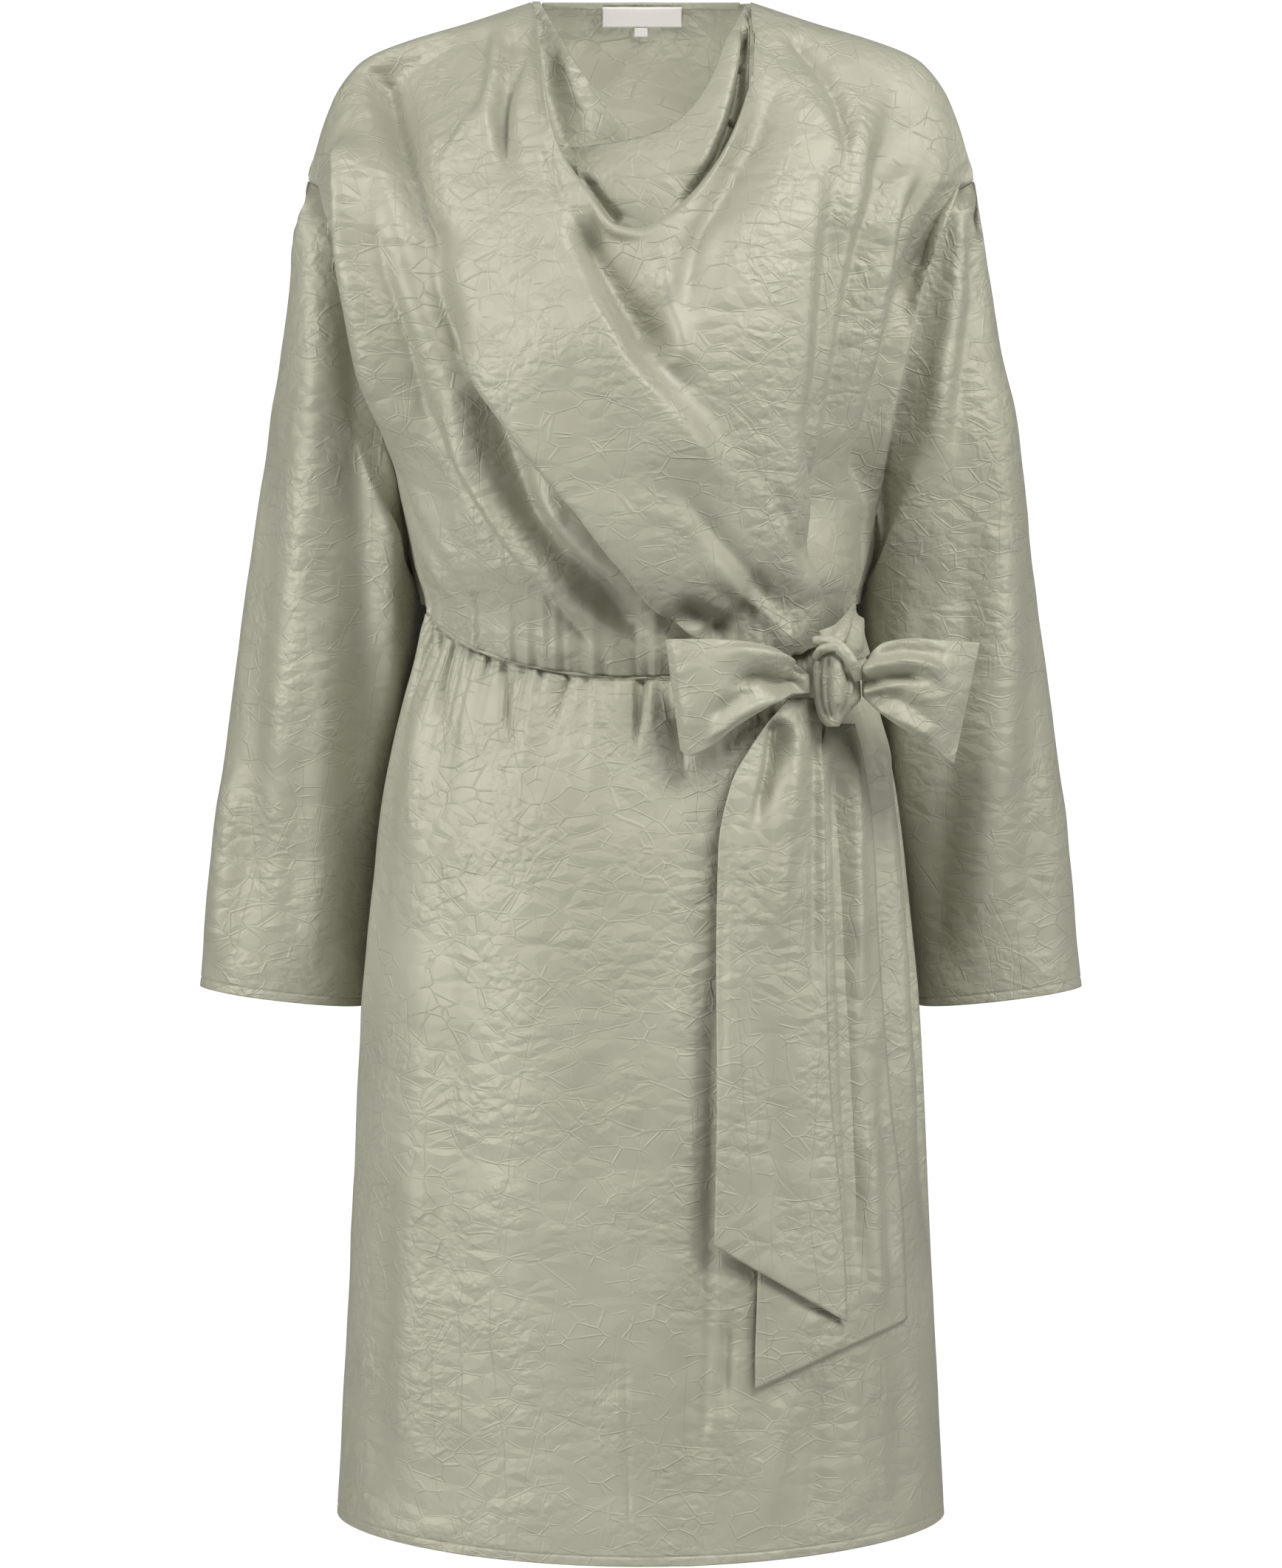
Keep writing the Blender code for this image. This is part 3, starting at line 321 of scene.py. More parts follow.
# The armholes' lower ends, where the back's side and the sleeve's inner back swell towards each other.
SIDE_SWELL, SIDE_SWELL_AT, SIDE_SWELL_SPREAD = 9 * MM, 74 * DEGREE, 10 * DEGREE
SLEEVE_SWELL, SLEEVE_SWELL_AT, SLEEVE_SWELL_SPREAD = 18 * MM, 218 * DEGREE, 24 * DEGREE
SWELL_Z, SWELL_REACH = -335 * MM, 88 * MM

# Faces across and down each piece.
FRONT_MESH = (228, 196)
BACK_MESH = (130, 110)
SKIRT_MESH = (290, 150)
SKIRT_BACK_MESH = (130, 150)
SLEEVE_MESH = (100, 210)
LOOP_MESH = (52, 64)
TAIL_MESH = (44, 200)
STRAP_MESH = (26, 24)
KNOT_MESH = (72, 48)
TURN_MESH = (16, 41)
COWL_MESH = (110, 44)
UNDER_MESH = (36, 70)
BAND_MESH = (120, 8)
LABEL_MESH = (50, 14)
TAB_MESH = (10, 8)
ARMHOLE_MESH = ((120, 120), (60, 120))  # of the front and back, enough to find the armholes' edges
TUCK_ROWS = 5
ROW_POWER = 1.15  # rows of the bodice are closer near its top
BODICE_DROP = 0.40  # about how long the pieces are, to place the rows near their edges
SKIRT_DROP = 0.56
SLEEVE_LENGTH = 0.58

# Colours, light and the studio.
SAGE = (0.41, 0.40, 0.31)
SAGE_DARK = (0.37, 0.36, 0.275)
SATIN = {"Roughness": 0.56, "Metallic": 0.2, "Specular IOR Level": 0.5, "Sheen Weight": 0.1}
SATIN_PATCHES = ((9.0, 4.0), (0.35, 0.65))  # scale and detail of the lighter patches, and their noise's range

# Creases are cells with roofs. Each kind of cell is stretched across and up, with so many a metre.
CREASE_DEPTH = 2.3 * MM
CREASE_BEND, CREASE_SWAY = (30.0, 1.0), 0.005  # noise that bends them, and how far in metres
CREASE_CELLS = ((1.0, 1.5, 22.0), (1.0, 1.7, 48.0), (1.1, 1.5, 95.0), (1.6, 0.30, 22.0))
CREASE_LINES = (0.055, 0.026, 0.014)  # widths of the thin lines along the second, first and last cells' edges
CREASE_PATCHES = (  # where a layer shows: scale of the noise and its range
    (15.0, 0.34, 0.60),
    (19.0, 0.40, 0.60),
    (50.0, 0.44, 0.56),
    (60.0, 0.47, 0.58),
    (12.0, 0.40, 0.60),
)
CREASE_SHARES = (0.9, 0.9, 0.40, 0.14, 0.12, -0.08)  # height of the roofs, then of each layer
CRUSH, CRUSH_SHARE = (130.0, 2.0), 0.45  # noise of the finest crinkle between the creases, and its height
LABEL_WEAVE, LABEL_SWAY = 900.0, 0.4
LABEL_BUMP = (0.4, 0.1 * MM)
LABEL_COLOURS = ((0.76, 0.72, 0.69), (0.86, 0.82, 0.79))
LABEL_ROUGHNESS = 0.7
PLAIN_ROUGHNESS = 0.9
WHITE = (1, 1, 1)
FLOOR_COLOUR = (0.86, 0.86, 0.85)
WORLD_LIGHT = 0.05
FLOOR_Z = -1.6
FLOOR_RADIUS = 2.2
DOME_RADIUS = 14.0
FLOOR_SIDES = 96
DOME_SIDES = (48, 24)
SOFTBOXES = [
    # name, place, what it faces, its width and height, spread of its beam in degrees, watts
    ("high_right", (1.3, -1.8, 1.6), (0, 0, -0.2), (1.3, 1.0), 180, 62),
    ("high_left", (-1.5, -1.9, 1.4), (0, 0, -0.2), (1.2, 1.1), 180, 20),
    ("left", (-2.6, -1.4, 0.3), (0, 0, -0.3), (1.1, 1.8), 180, 62),
    ("right", (2.6, -1.2, 0.3), (0, 0, -0.3), (1.1, 1.8), 180, 32),
    ("hollow", (0, -0.035, -0.17), (0, 0.09, -0.02), (0.12, 0.04), 150, 0.17),
]

# The pieces' cut before they were sewn and gathered: width and length in metres, the area in square metres
# where it isn't a rectangle, and how the cloth is held.
Cut = namedtuple("Cut", "node width length area held")

# Folds of each piece.
FRONT_FOLDS = folds("""
# The roll over the wearer's right sleeve, and the sweeps from that shoulder to the knot.
ridge 13 6 9 0.12 0.3 474,175 484,300 506,420 530,530 560,625
ridge -8 7 15 0.1 0.2 502,60 512,130 526,195 546,275 570,365 598,448 634,535
ridge -8 8 56 0.05 0.25 508,50 522,130 540,210 566,300 600,390
ridge 5 7 8 0.3 0.2 524,500 546,610 572,700 602,770 640,835
ridge -3.5 4 5 0.2 0.3 538,600 560,680 588,740 618,790 645,835
ridge -3 4 5 0.25 0.25 498,250 512,350 545,455 570,555 600,630
crease -3.4 3 6 0.25 0.15 560,500 603,616 635,671 675,739 744,812 821,894
ridge 7 9 9 0.3 0.2 590,520 622,606 658,672 708,742 770,806 850,872
ridge -11 8 13 0.25 0.2 612,480 650,560 684,640 712,700 744,748 798,802 870,862 898,885
ridge 4 8 9 0.3 0.25 690,630 740,695 800,755 858,806 912,858
lap 9 15 42 0.28 0.05 592,392 606,436 625,480 671,540 710,592 744,636 816,726 871,790 939,857 962,876
ridge -8 8 9 0.35 0.3 900,796 936,826 966,848 998,866
ridge 2.5 6 6 0.35 0.15 930,740 985,780 1035,830 1075,885
ridge -2.4 6 7 0.35 0.15 900,640 960,715 1010,775 1050,830
# Folds that fall from the neck and over the chest.
ridge -5 7 8 0.15 0.35 700,20 686,80 676,140 682,200 700,260
crease -3.6 3 3 0.15 0.3 716,30 704,75 684,125 679,180 684,230
ridge 2.4 6 6 0.2 0.3 668,30 664,90 655,150 660,200
ridge -3 6 6 0.2 0.3 655,30 650,80 640,120 625,150
ridge -2.5 4 4 0.2 0.4 716,40 722,90 728,140 738,190
ridge -2.6 4 5 0.3 0.4 730,190 752,250 772,300
ridge -12 7 22 0.25 0.25 772,270 796,330 828,390 858,445 882,512
ridge -3 8 9 0.4 0.4 868,470 896,502 940,526
ridge 9 46 12 0.3 0.35 758,325 806,420 860,505 940,600 1010,700
ridge -6 9 14 0.25 0.3 1046,80 1030,170 990,245 950,320 928,385 918,450
ridge 4 7 9 0.3 0.3 900,330 905,400 925,470 950,520
# The wearer's left side, gathered into the knot.
crease -4.5 5 6 0.12 0.4 1064,40 1090,66 1116,98 1138,140 1148,190 1150,260
ridge -9 8 22 0.25 0.1 1140,180 1135,260 1126,400 1119,500 1107,600 1101,700 1098,800
ridge -12 9 28 0.16 0.15 1216,110 1200,250 1176,400 1165,500 1154,600 1136,700 1122,790
ridge -9 7 18 0.2 0.15 1272,190 1244,400 1229,500 1209,600 1180,700
lap -3.5 26 12 0.45 0.04 1112,520 1106,600 1104,680 1102,800 1099,912
crease -3.6 3 7 0.4 0.2 1046,640 1058,690 1078,735 1097,790
""")
COWL_FOLDS = folds("""
ridge -7 4 7 0.1 0.2 1013,30 1010,89 1000,140 984,186 962,232 940,262 916,284
ridge 3 9 4 0.1 0.2 1002,38 994,89 979,156 957,214 930,257
ridge -3.5 3 4 0.3 0.08 782,230 799,254 819,281 838,303
ridge -3 5 8 0.2 0.3 738,60 744,120 760,176 782,216
ridge 2 6 7 0.3 0.3 757,60 776,120 800,170
""")
SKIRT_FOLDS = folds("""
crease -3.4 1.6 3 0.06 0.5 686,893 684,950 682,1030
crease -3.2 3 1.6 0.06 0.6 771,911 757,955 740,1015
crease -3.2 1.6 3 0.06 0.6 871,916 866,965 858,1030
ridge -3 5 5 0.3 0.5 918,960 922,1000 930,1070
ridge 1.7 9 9 0.1 0.5 640,872 634,960 628,1100
ridge 1.3 8 8 0.1 0.5 725,900 716,980 708,1090
ridge 1.4 9 9 0.1 0.5 822,915 812,990 805,1120
crease -2.8 2 2 0.08 0.5 589,850 566,905 552,980
crease -2.8 2 2 0.08 0.5 600,856 580,910 568,980
crease -3 2 3 0.08 0.5 617,864 602,915 594,1000
ridge 1.9 8 9 0.2 0.5 596,880 570,960 560,1080 556,1260
ridge -1.8 12 14 0.3 0.4 620,1080 606,1300 600,1600 604,2000
ridge 1.8 14 16 0.4 0.2 560,1400 552,1700 545,2040
ridge -1.5 10 12 0.4 0.1 520,1600 516,1850 512,2060
ridge 1.8 22 24 0.4 0.4 700,1150 706,1400 712,1700 716,1950
ridge -1.5 16 16 0.4 0.2 800,1250 806,1500 812,1800 806,2080
ridge -1.2 2 2 0.4 0.1 846,1800 848,1950 850,2085
ridge 1.8 12 12 0.4 0.3 905,1150 910,1400 905,1700 900,1980
ridge -3 9 7 0.3 0.2 962,1250 962,1500 956,1750 948,1940 940,2080
ridge -3 5 5 0.3 0.4 990,1770 987,1850 984,1930
ridge 2.7 8 9 0.3 0.3 1062,1860 1054,1940 1042,2075
ridge -2.1 7 9 0.3 0.2 1110,1850 1108,1950 1100,2075
ridge 4.5 6 7 0.1 0.3 1178,970 1192,1040 1206,1200 1220,1420 1238,1650
ridge -4.5 6 8 0.15 0.3 1205,975 1222,1080 1238,1240 1254,1480 1262,1760
ridge 1.8 8 8 0.3 0.2 1150,1850 1160,1950 1166,2060
ridge -1.8 9 8 0.3 0.15 1215,1800 1222,1920 1226,2060
""")
RIGHT_SLEEVE_FOLDS = folds("""
ridge 5 16 18 0.1 0.3 420,250 432,400 418,640 396,900 372,1180
ridge -3.2 12 10 0.12 0.2 445,270 470,430 484,640 492,860 486,1100 470,1330
ridge -3.5 14 14 0.3 0.2 372,520 352,760 338,1000 332,1300
ridge 4 10 12 0.3 0.15 440,760 438,960 430,1150 422,1330
ridge 3 10 9 0.3 0.2 310,1000 300,1160 296,1320
ridge 4 7 7 0.2 0.3 520,560 528,700 528,860 520,1020
""")
LEFT_SLEEVE_FOLDS = folds("""
ridge 4 8 9 0.1 0.4 1302,262 1296,380 1276,520 1262,660
ridge -4 7 9 0.1 0.4 1318,262 1318,380 1304,520 1290,660
ridge -3.5 11 13 0.3 0.1 1318,700 1308,860 1290,1000 1274,1150 1262,1335
ridge 5 14 16 0.2 0.2 1350,420 1356,640 1352,900 1336,1120 1326,1320
ridge -3 12 12 0.3 0.2 1402,700 1404,900 1400,1100 1404,1320
ridge 3 8 9 0.3 0.2 1226,760 1226,900 1222,1100 1218,1300
""")
BACK_FOLDS = folds("""
ridge -5 9 12 0.2 0.3 520,170 540,300 566,430 590,560
ridge 6 12 14 0.2 0.2 556,260 576,400 604,560 632,720 652,815
ridge -4 10 10 0.3 0.1 640,420 668,560 690,700 700,800
ridge 3.5 14 16 0.4 0.12 730,470 752,620 764,740 770,810
ridge -3 12 12 0.4 0.1 820,520 830,660 832,810
ridge 4 14 16 0.4 0.12 900,450 898,600 890,740 886,812
ridge -3.5 12 14 0.35 0.1 972,500 966,650 958,806
ridge 5 14 12 0.3 0.15 1070,350 1060,520 1040,680 1020,812
ridge -5 10 12 0.25 0.2 1150,260 1140,420 1116,580 1090,740
ridge 6 10 12 0.2 0.25 1226,210 1212,360 1182,520 1150,680
""")
BACK_SLEEVE_FOLDS = folds("""
ridge 5 14 14 0.15 0.25 450,260 440,480 418,760 404,1040
ridge -6 10 12 0.25 0.2 486,420 470,660 446,940 434,1240
ridge 5 12 12 0.3 0.15 400,560 372,820 352,1080 338,1330
ridge -4 10 10 0.3 0.15 350,640 322,900 304,1150 296,1320
""")

# The skirt's long gathers hang from the waist seam. at is the angle round from its panel's middle and spread
# is half its width, in degrees; height and length are in mm. Those of the back vary in a regular way.
Gather = namedtuple("Gather", "at height spread length")
GATHER_RISE = 12 * MM  # how far under the seam they have their full height
FRONT_GATHERS = [
    Gather(-80, 3.5, 5.0, 330),
    Gather(-66, 2.2, 4.0, 120),
    Gather(78, 3.0, 5.0, 260),
]
BACK_GATHERS = [
    Gather(at, 2.4 + 1.0 * math.sin(at * 2.3), 5.5, 150 + 60 * math.sin(at * 1.7))
    for at in range(-78, 79, 13)
]

# Short pleats that the waist seam gathers, all the way round. Each number is the least and what a seeded draw
# adds to it at most.
PLEAT_COUNT = 84
PLEAT_SEED = 5
PLEAT_PLACE = (0.2, 0.6)  # in shares of the room that each has
PLEAT_SPREAD = (0.65, 0.6)  # degrees
PLEAT_HEIGHT = (1.5, 2.4)  # mm
PLEAT_LENGTH = (7, 30)  # mm
PLEAT_RISE = 3 * MM


# Curves and places.


def hermite(keys, values, at):
    """The values at `at` on a smooth curve through the rows, which never leaves the range of two rows."""
    keys, values, at = np.asarray(keys, float), np.asarray(values, float), np.asarray(at, float)
    at = np.clip(at, keys[0], keys[-1])
    steps = np.diff(keys)
    rises = np.diff(values) / steps
    slopes = np.empty_like(values)
    slopes[0], slopes[-1] = rises[0], rises[-1]
    before, after = rises[:-1], rises[1:]
    turning = before * after <= 0
    slopes[1:-1] = np.where(turning, 0, 2 * before * after / np.where(turning, 1, before + after))
    i = np.clip(np.searchsorted(keys, at, "right") - 1, 0, len(steps) - 1)
    t = (at - keys[i]) / steps[i]
    return (
        values[i] * (1 + 2 * t) * (1 - t) ** 2
        + slopes[i] * steps[i] * t * (1 - t) ** 2
        + values[i + 1] * t**2 * (3 - 2 * t)
        - slopes[i + 1] * steps[i] * t**2 * (1 - t)
    )


def column(rows, key, name, at):
    """One named column of a table as a smooth function of another, in metres."""
    ordered = sorted(rows, key=lambda row: getattr(row, key))
    keys = [getattr(row, key) * MM for row in ordered]
    return hermite(keys, [getattr(row, name) * MM for row in ordered], at)


def along(points, share):
    """Points at these shares, 0 to 1, of the way along a smooth curve through the given ones."""
    points = np.asarray(points, float)
    way = np.concatenate([[0], np.cumsum(np.linalg.norm(np.diff(points, axis=0), axis=1))])
    at = np.asarray(share, float) * way[-1]
    return np.stack([hermite(way, points[:, k], at) for k in range(points.shape[1])], axis=-1)


def curves(rows, names, at):
    """These columns of a table as smooth curves, for shares of the way through its evenly spaced rows."""
    ends = np.linspace(0, 1, len(rows))
    return [hermite(ends, [getattr(row, name) for row in rows], at) for name in names.split()]


def edges_px(rows, at):
    """The top and foot edges of a table, as photo pixels at these shares of the way through it."""
    return [np.stack(curves(rows, names, at), axis=-1) for names in ("top_x top_y", "foot_x foot_y")]


def ease(t):
    t = np.clip(t, 0, 1)
    return t * t * (3 - 2 * t)


def to_photo(points):
    """Where points are seen in the photograph, as pixel columns and rows."""
    reach = points[..., 1] + VIEW_DISTANCE
    rise = points[..., 2] - VIEW_HEIGHT
    depth = reach * math.cos(TILT) - rise * math.sin(TILT)
    up = reach * math.sin(TILT) + rise * math.cos(TILT)
    seen = np.stack([FOCAL * points[..., 0] / depth, -FOCAL * up / depth], axis=-1)
    return seen + np.array(PHOTO_CENTRE)


def found(pixel, search, y_at):
    """The places on a surface where photo pixels are seen. y_at gives the surface's y near a place."""
    guess, count = search
    y = np.full(pixel.shape[:-1], guess)
    for _ in range(count):
        y = y_at(from_photo(pixel, y))
    return from_photo(pixel, y)


def from_photo(pixel, y):
    """The place of a photo pixel on the plane that is y in front of or behind the origin."""
    pixel, y = np.asarray(pixel, float), np.asarray(y, float)
    across = (pixel[..., 0] - PHOTO_CENTRE[0]) / FOCAL
    upward = (PHOTO_CENTRE[1] - pixel[..., 1]) / FOCAL
    reach = y + VIEW_DISTANCE
    rise = reach * (upward * math.cos(TILT) - math.sin(TILT)) / (math.cos(TILT) + upward * math.sin(TILT))
    depth = reach * math.cos(TILT) - rise * math.sin(TILT)
    return np.stack([across * depth, y, rise + VIEW_HEIGHT], axis=-1)


# The dress on its general figure.


def shoulder_line(x):
    """Height of the shoulder line over x, carried on over the neck as a low dome."""
    x = np.abs(x)
    line = np.array([[p.x * MM, p.z * MM] for p in SHOULDER])
    over_neck = NECK_TOP + NECK_RISE * (1 - (np.minimum(x, NECK_HALF) / NECK_HALF) ** 2)
    return np.where(x < NECK_HALF, over_neck, hermite(line[:, 0], line[:, 1], x))


def rounding(x, z):
    """0 on the shoulder line and 1 where the cloth has reached its full depth."""
    below = np.clip((shoulder_line(x) - z) / SHOULDER_ROUND, 0, 1)
    return np.sqrt(1 - (1 - below) ** 2)


def waist_line(angle, dip):
    return WAIST_Z - dip * np.abs(np.cos(angle)) ** WAIST_DIP_POWER


def bodice_columns(share, neck_share):
    """For columns from side to side, share -1 to 1: the angle round the figure and the place along the top,
    which is over 1 on a shoulder (1 at the neck, 2 at the sleeve) and under 1 across the neck."""
    angle = share * math.pi / 2
    size = np.abs(share)
    place = np.where(size > neck_share, 1 + (size - neck_share) / (1 - neck_share), size / neck_share)
    return angle, place


def shoulder_point(place):
    """x and z on the shoulder line at place 1 to 2."""
    return along([[p.x * MM, p.z * MM] for p in SHOULDER], np.clip(place - 1, 0, 1))


def bodice_point(angle, z, top_x, top_z, is_front):
    """A place on the plain bodice: from the top edge it falls to the level section at z."""
    edge = "front" if is_front else "back"
    depth = column(BODICE, "z", edge + "_depth", z)
    middle = column(BODICE, "z", edge + "_y", z)
    half = column(BODICE, "z", "half", z)
    notch = column(BODICE, "z", "notch", z)
    sine = np.sin(angle)
    ring_x = half * sine - notch * np.sign(sine) * np.abs(sine) ** NOTCH_POWER
    settled = ease((top_z - z) / SETTLE_DROP)
    at_edge = ease((np.abs(angle) / (math.pi / 2) - SIDE_SHARE) / SIDE_BLEND)
    settled = np.maximum(settled, at_edge)
    x = top_x + (ring_x - top_x) * settled
    way = -1 if is_front else 1
    y = middle + way * depth * np.cos(angle) * rounding(x, z)
    return np.stack([x, y, z], axis=-1)


def crest_point(share):
    """The cowl's crest, share 0 to 1 from the wearer's right to left."""
    pixel = along(CREST_PX, share)
    angle = (2 * share - 1) * FRONT_NECK_SHARE * math.pi / 2

    def bodice_y(place):
        return bodice_point(angle, place[..., 2], place[..., 0], place[..., 2], True)[..., 1]

    return found(pixel, CREST_SEARCH, bodice_y)


def nearest_crest_y(pixel):
    """How far back the crest is where it passes nearest to each photo pixel."""
    crest = crest_point(np.linspace(0, 1, CREST_SAMPLES))
    gap = np.linalg.norm(to_photo(crest)[None] - pixel[:, None], axis=-1)
    return crest[gap.argmin(axis=1), 1]


def back_neck_height(x):
    return NECK_TOP + BACK_NECK_RISE * (1 - (np.minimum(np.abs(x), NECK_HALF) / NECK_HALF) ** 2)


def skirt_ring(angle, z, is_front):
    """A place on the plain skirt at this height."""
    drop = WAIST_Z - z
    edge = "front_depth" if is_front else "back_depth"
    depth = column(SKIRT, "drop", edge, drop)
    half = column(SKIRT, "drop", "half", drop)
    way = -1 if is_front else 1
    y = column(SKIRT, "drop", "side_y", drop) + way * depth * np.cos(angle)
    return np.stack([half * np.sin(angle), y, z], axis=-1)


def gather_height(angle, below, gathers):
    """How far the gathers lift the cloth, at an angle and a distance below the seam."""
    out = np.zeros(np.shape(angle))
    for g in gathers:
        bell = np.exp(-(((angle / DEGREE - g.at) / g.spread) ** 2))
        fade = ease(below / GATHER_RISE) * np.exp(-((below / (g.length * MM)) ** 2))
        out += g.height * MM * bell * fade
    return out


def sleeve(side, around, down, front_edge, back_edge):
    """The sleeve's grid, rows from the armhole, closed round. side is -1 at the wearer's right and 1 at the
    left. The edges are the bodice's own, down the wearer's left side."""
    turn = np.linspace(0, 2 * math.pi, around, endpoint=False)
    level = (1 + np.cos(turn)) / 2
    loop_z = ARMHOLE_FOOT + (ARMHOLE_TOP - ARMHOLE_FOOT) * level
    front = np.sin(turn) >= 0
    edges = []
    for edge in (front_edge[::-1], back_edge[::-1]):
        edges.append(np.stack([np.interp(loop_z, edge[:, 2], edge[:, k]) for k in range(3)], axis=-1))
    loop = np.where(front[:, None], *edges)
    count = len(SLEEVE) - 1
    sections = range(len(SLEEVE))
    rows = []
    for share in to_hem(down, SLEEVE_LENGTH):
        at = count * share
        values = [hermite(sections, numbers, at) * MM for numbers in zip(*SLEEVE)]
        outer_x, outer_z, inner_x, inner_z, middle_y, front_depth, back_depth = values
        outer = np.array([outer_x, middle_y, outer_z])
        inner = np.array([inner_x, middle_y, inner_z])
        middle, half = (outer + inner) / 2, (outer - inner) / 2
        deep = np.where(front, front_depth, back_depth)
        ring = middle + np.cos(turn)[:, None] * half
        ring[:, 1] -= np.sin(turn) * deep
        near = 1 - ease(at / SLEEVE_BLEND)
        ring = ring * (1 - near) + (loop + middle_shift(at)) * near
        rows.append(ring)
    grid = np.array(rows)
    sink = SLEEVE_SINK * (1 - ease(to_hem(down, SLEEVE_LENGTH) * count / SLEEVE_SINK_END))
    grid[..., 1] += sink[:, None] * np.clip(np.sin(turn), 0, 1)
    grid[0] = loop - np.array([SLEEVE_TUCK, 0, SLEEVE_TUCK])
    grid[0, :, 1] += np.sin(turn) * SLEEVE_TUCK
    grid[..., 0] *= side
    return grid


def middle_shift(at):
    """How far the armhole's loop has been carried along the sleeve, `at` sections down it."""
    first, second = SLEEVE[:2]
    step = [second.outer_x - first.outer_x, SLEEVE_BACKWARD, second.outer_z - first.outer_z]
    return np.array(step) * MM * at


def cowl(across, down):
    """The cowl's inner fold: from a short turning behind its top edge, over it and down behind the crest."""
    share = np.linspace(0, 1, across + 1)
    top_px, foot_px = along(COWL_TOP_PX, share), along(COWL_FOOT_PX, share)
    ends = np.linspace(0, 1, len(COWL_TOP_Y))
    top_y = hermite(ends, np.array(COWL_TOP_Y) * MM, share)
    window = np.sqrt(np.cos(math.pi / 2 * share))
    foot_y = nearest_crest_y(foot_px) + COWL_BEHIND * window + COWL_AT_NECK
    rows = []
    for k in range(down + 1):
        t = k / down
        pixel = top_px + (foot_px - top_px) * t
        belly = COWL_BELLY * math.sin(math.pi * t) * window
        roll = COWL_ROLL * (1 - t) ** COWL_ROLL_POWER * window
        rows.append(from_photo(pixel, top_y + (foot_y - top_y) * t - belly + roll))
    behind = rows[0].copy()
    behind[:, 1] += COWL_TURN_BACK * window
    behind[:, 2] -= COWL_TURN_DOWN * window
    return np.array([behind, *rows])


def under_layer(across, down):
    """The layer inside the cowl at the wearer's right, rows down from the neck point."""
    at = np.linspace(0, 1, down + 1)
    row, left, right, left_y, right_y = curves(UNDER, "row left right left_y right_y", at)
    grid = []
    for k in range(down + 1):
        t = np.linspace(0, 1, across + 1)
        pixel = np.stack([left[k] + (right[k] - left[k]) * t, np.full(across + 1, row[k])], axis=-1)
        belly = UNDER_BELLY * np.sin(math.pi * t) * at[k]
        y = (left_y[k] + (right_y[k] - left_y[k]) * t + belly) * MM
        grid.append(from_photo(pixel, y + UNDER_BACK))
    return np.array(grid)


# Folds and creases.


def near_route(fold, seen):
    """For places seen in the photograph: metres to the right of the fold's route, the share of the way along
    it, and the direction straight to the right of it in pixels."""
    route = along(fold.route, np.linspace(0, 1, ROUTE_STEPS))
    starts, run = route[:-1], np.diff(route, axis=0)
    length = np.linalg.norm(run, axis=1)
    offset = seen[:, None, :] - starts[None]
    share = np.clip((offset * run).sum(-1) / length**2, 0, 1)
    gap = offset - share[..., None] * run
    distance = np.linalg.norm(gap, axis=-1)
    nearest = distance.argmin(axis=1)
    pick = np.arange(len(seen))
    side = run[nearest, 1] * offset[pick, nearest, 0] - run[nearest, 0] * offset[pick, nearest, 1]
    far = distance[pick, nearest] * PIXEL * np.sign(side)
    way = np.concatenate([[0], np.cumsum(length)])
    place = (way[nearest] + share[pick, nearest] * length[nearest]) / way[-1]
    rightward = np.stack([run[:, 1], -run[:, 0]], axis=-1) / length[:, None]
    return far, place, rightward[nearest]


def fold_moves(fold, seen):
    """How far this fold moves the cloth out of its surface and along it, and which way along it."""
    far, place, rightward = near_route(fold, seen)
    strength = ease(place / fold.start) * ease((1 - place) / fold.end)
    spread = np.where(far > 0, fold.right, fold.left) * MM
    height = fold.height * MM * FOLD_GAIN
    bell = np.exp(-((far / spread) ** 2))
    if fold.kind == "ridge":
        return height * strength * bell, np.zeros(len(far)), rightward
    if fold.kind == "crease":
        peak = np.exp(-np.abs(far / spread) ** CREASE_POWER)
        return height * strength * peak, np.zeros(len(far)), rightward
    over = 1 if height > 0 else -1
    from_edge = far * over / LAP_TURN - LAP_EDGE
    drawn = LAP_EDGE + from_edge * (1 - LAP_PINCH * np.exp(-((from_edge / LAP_PINCH_REACH) ** 2)))
    back = LAP_FOLD * strength * drawn * np.exp(-(drawn**2))
    slide = (drawn - back) * LAP_TURN - far * over
    step = ease((drawn + 1) / 2)
    lift = abs(height) * strength * bell * (step - LAP_SINK * (1 - step))
    return lift, slide * over * strength, rightward


def folded(grid, folds, window, way=1, closed=False):
    """The grid with these folds laid over it. way is -1 where the cloth's outside faces the other way."""
    seen = to_photo(grid)
    flat = seen.reshape(-1, 2)
    out, slide = np.zeros(len(flat)), np.zeros((len(flat), 2))
    for fold in folds:
        lift, shift, rightward = fold_moves(fold, flat)
        out += lift
        slide += shift[:, None] * rightward
    moved = raised(grid, out.reshape(window.shape) * window, way, closed)
    if not np.any(slide):
        return moved
    slide = slide.reshape(seen.shape) * window[..., None] / PIXEL
    seen_down, seen_across = slopes(seen, closed)
    span = seen_down[..., 0] * seen_across[..., 1] - seen_down[..., 1] * seen_across[..., 0]
    span = np.where(np.abs(span) < LEAST_SPAN, LEAST_SPAN * np.where(span < 0, -1, 1), span)
    down = (slide[..., 0] * seen_across[..., 1] - slide[..., 1] * seen_across[..., 0]) / span
    across = (seen_down[..., 0] * slide[..., 1] - seen_down[..., 1] * slide[..., 0]) / span
    grid_down, grid_across = slopes(grid, closed)
    return moved + grid_down * down[..., None] + grid_across * across[..., None]


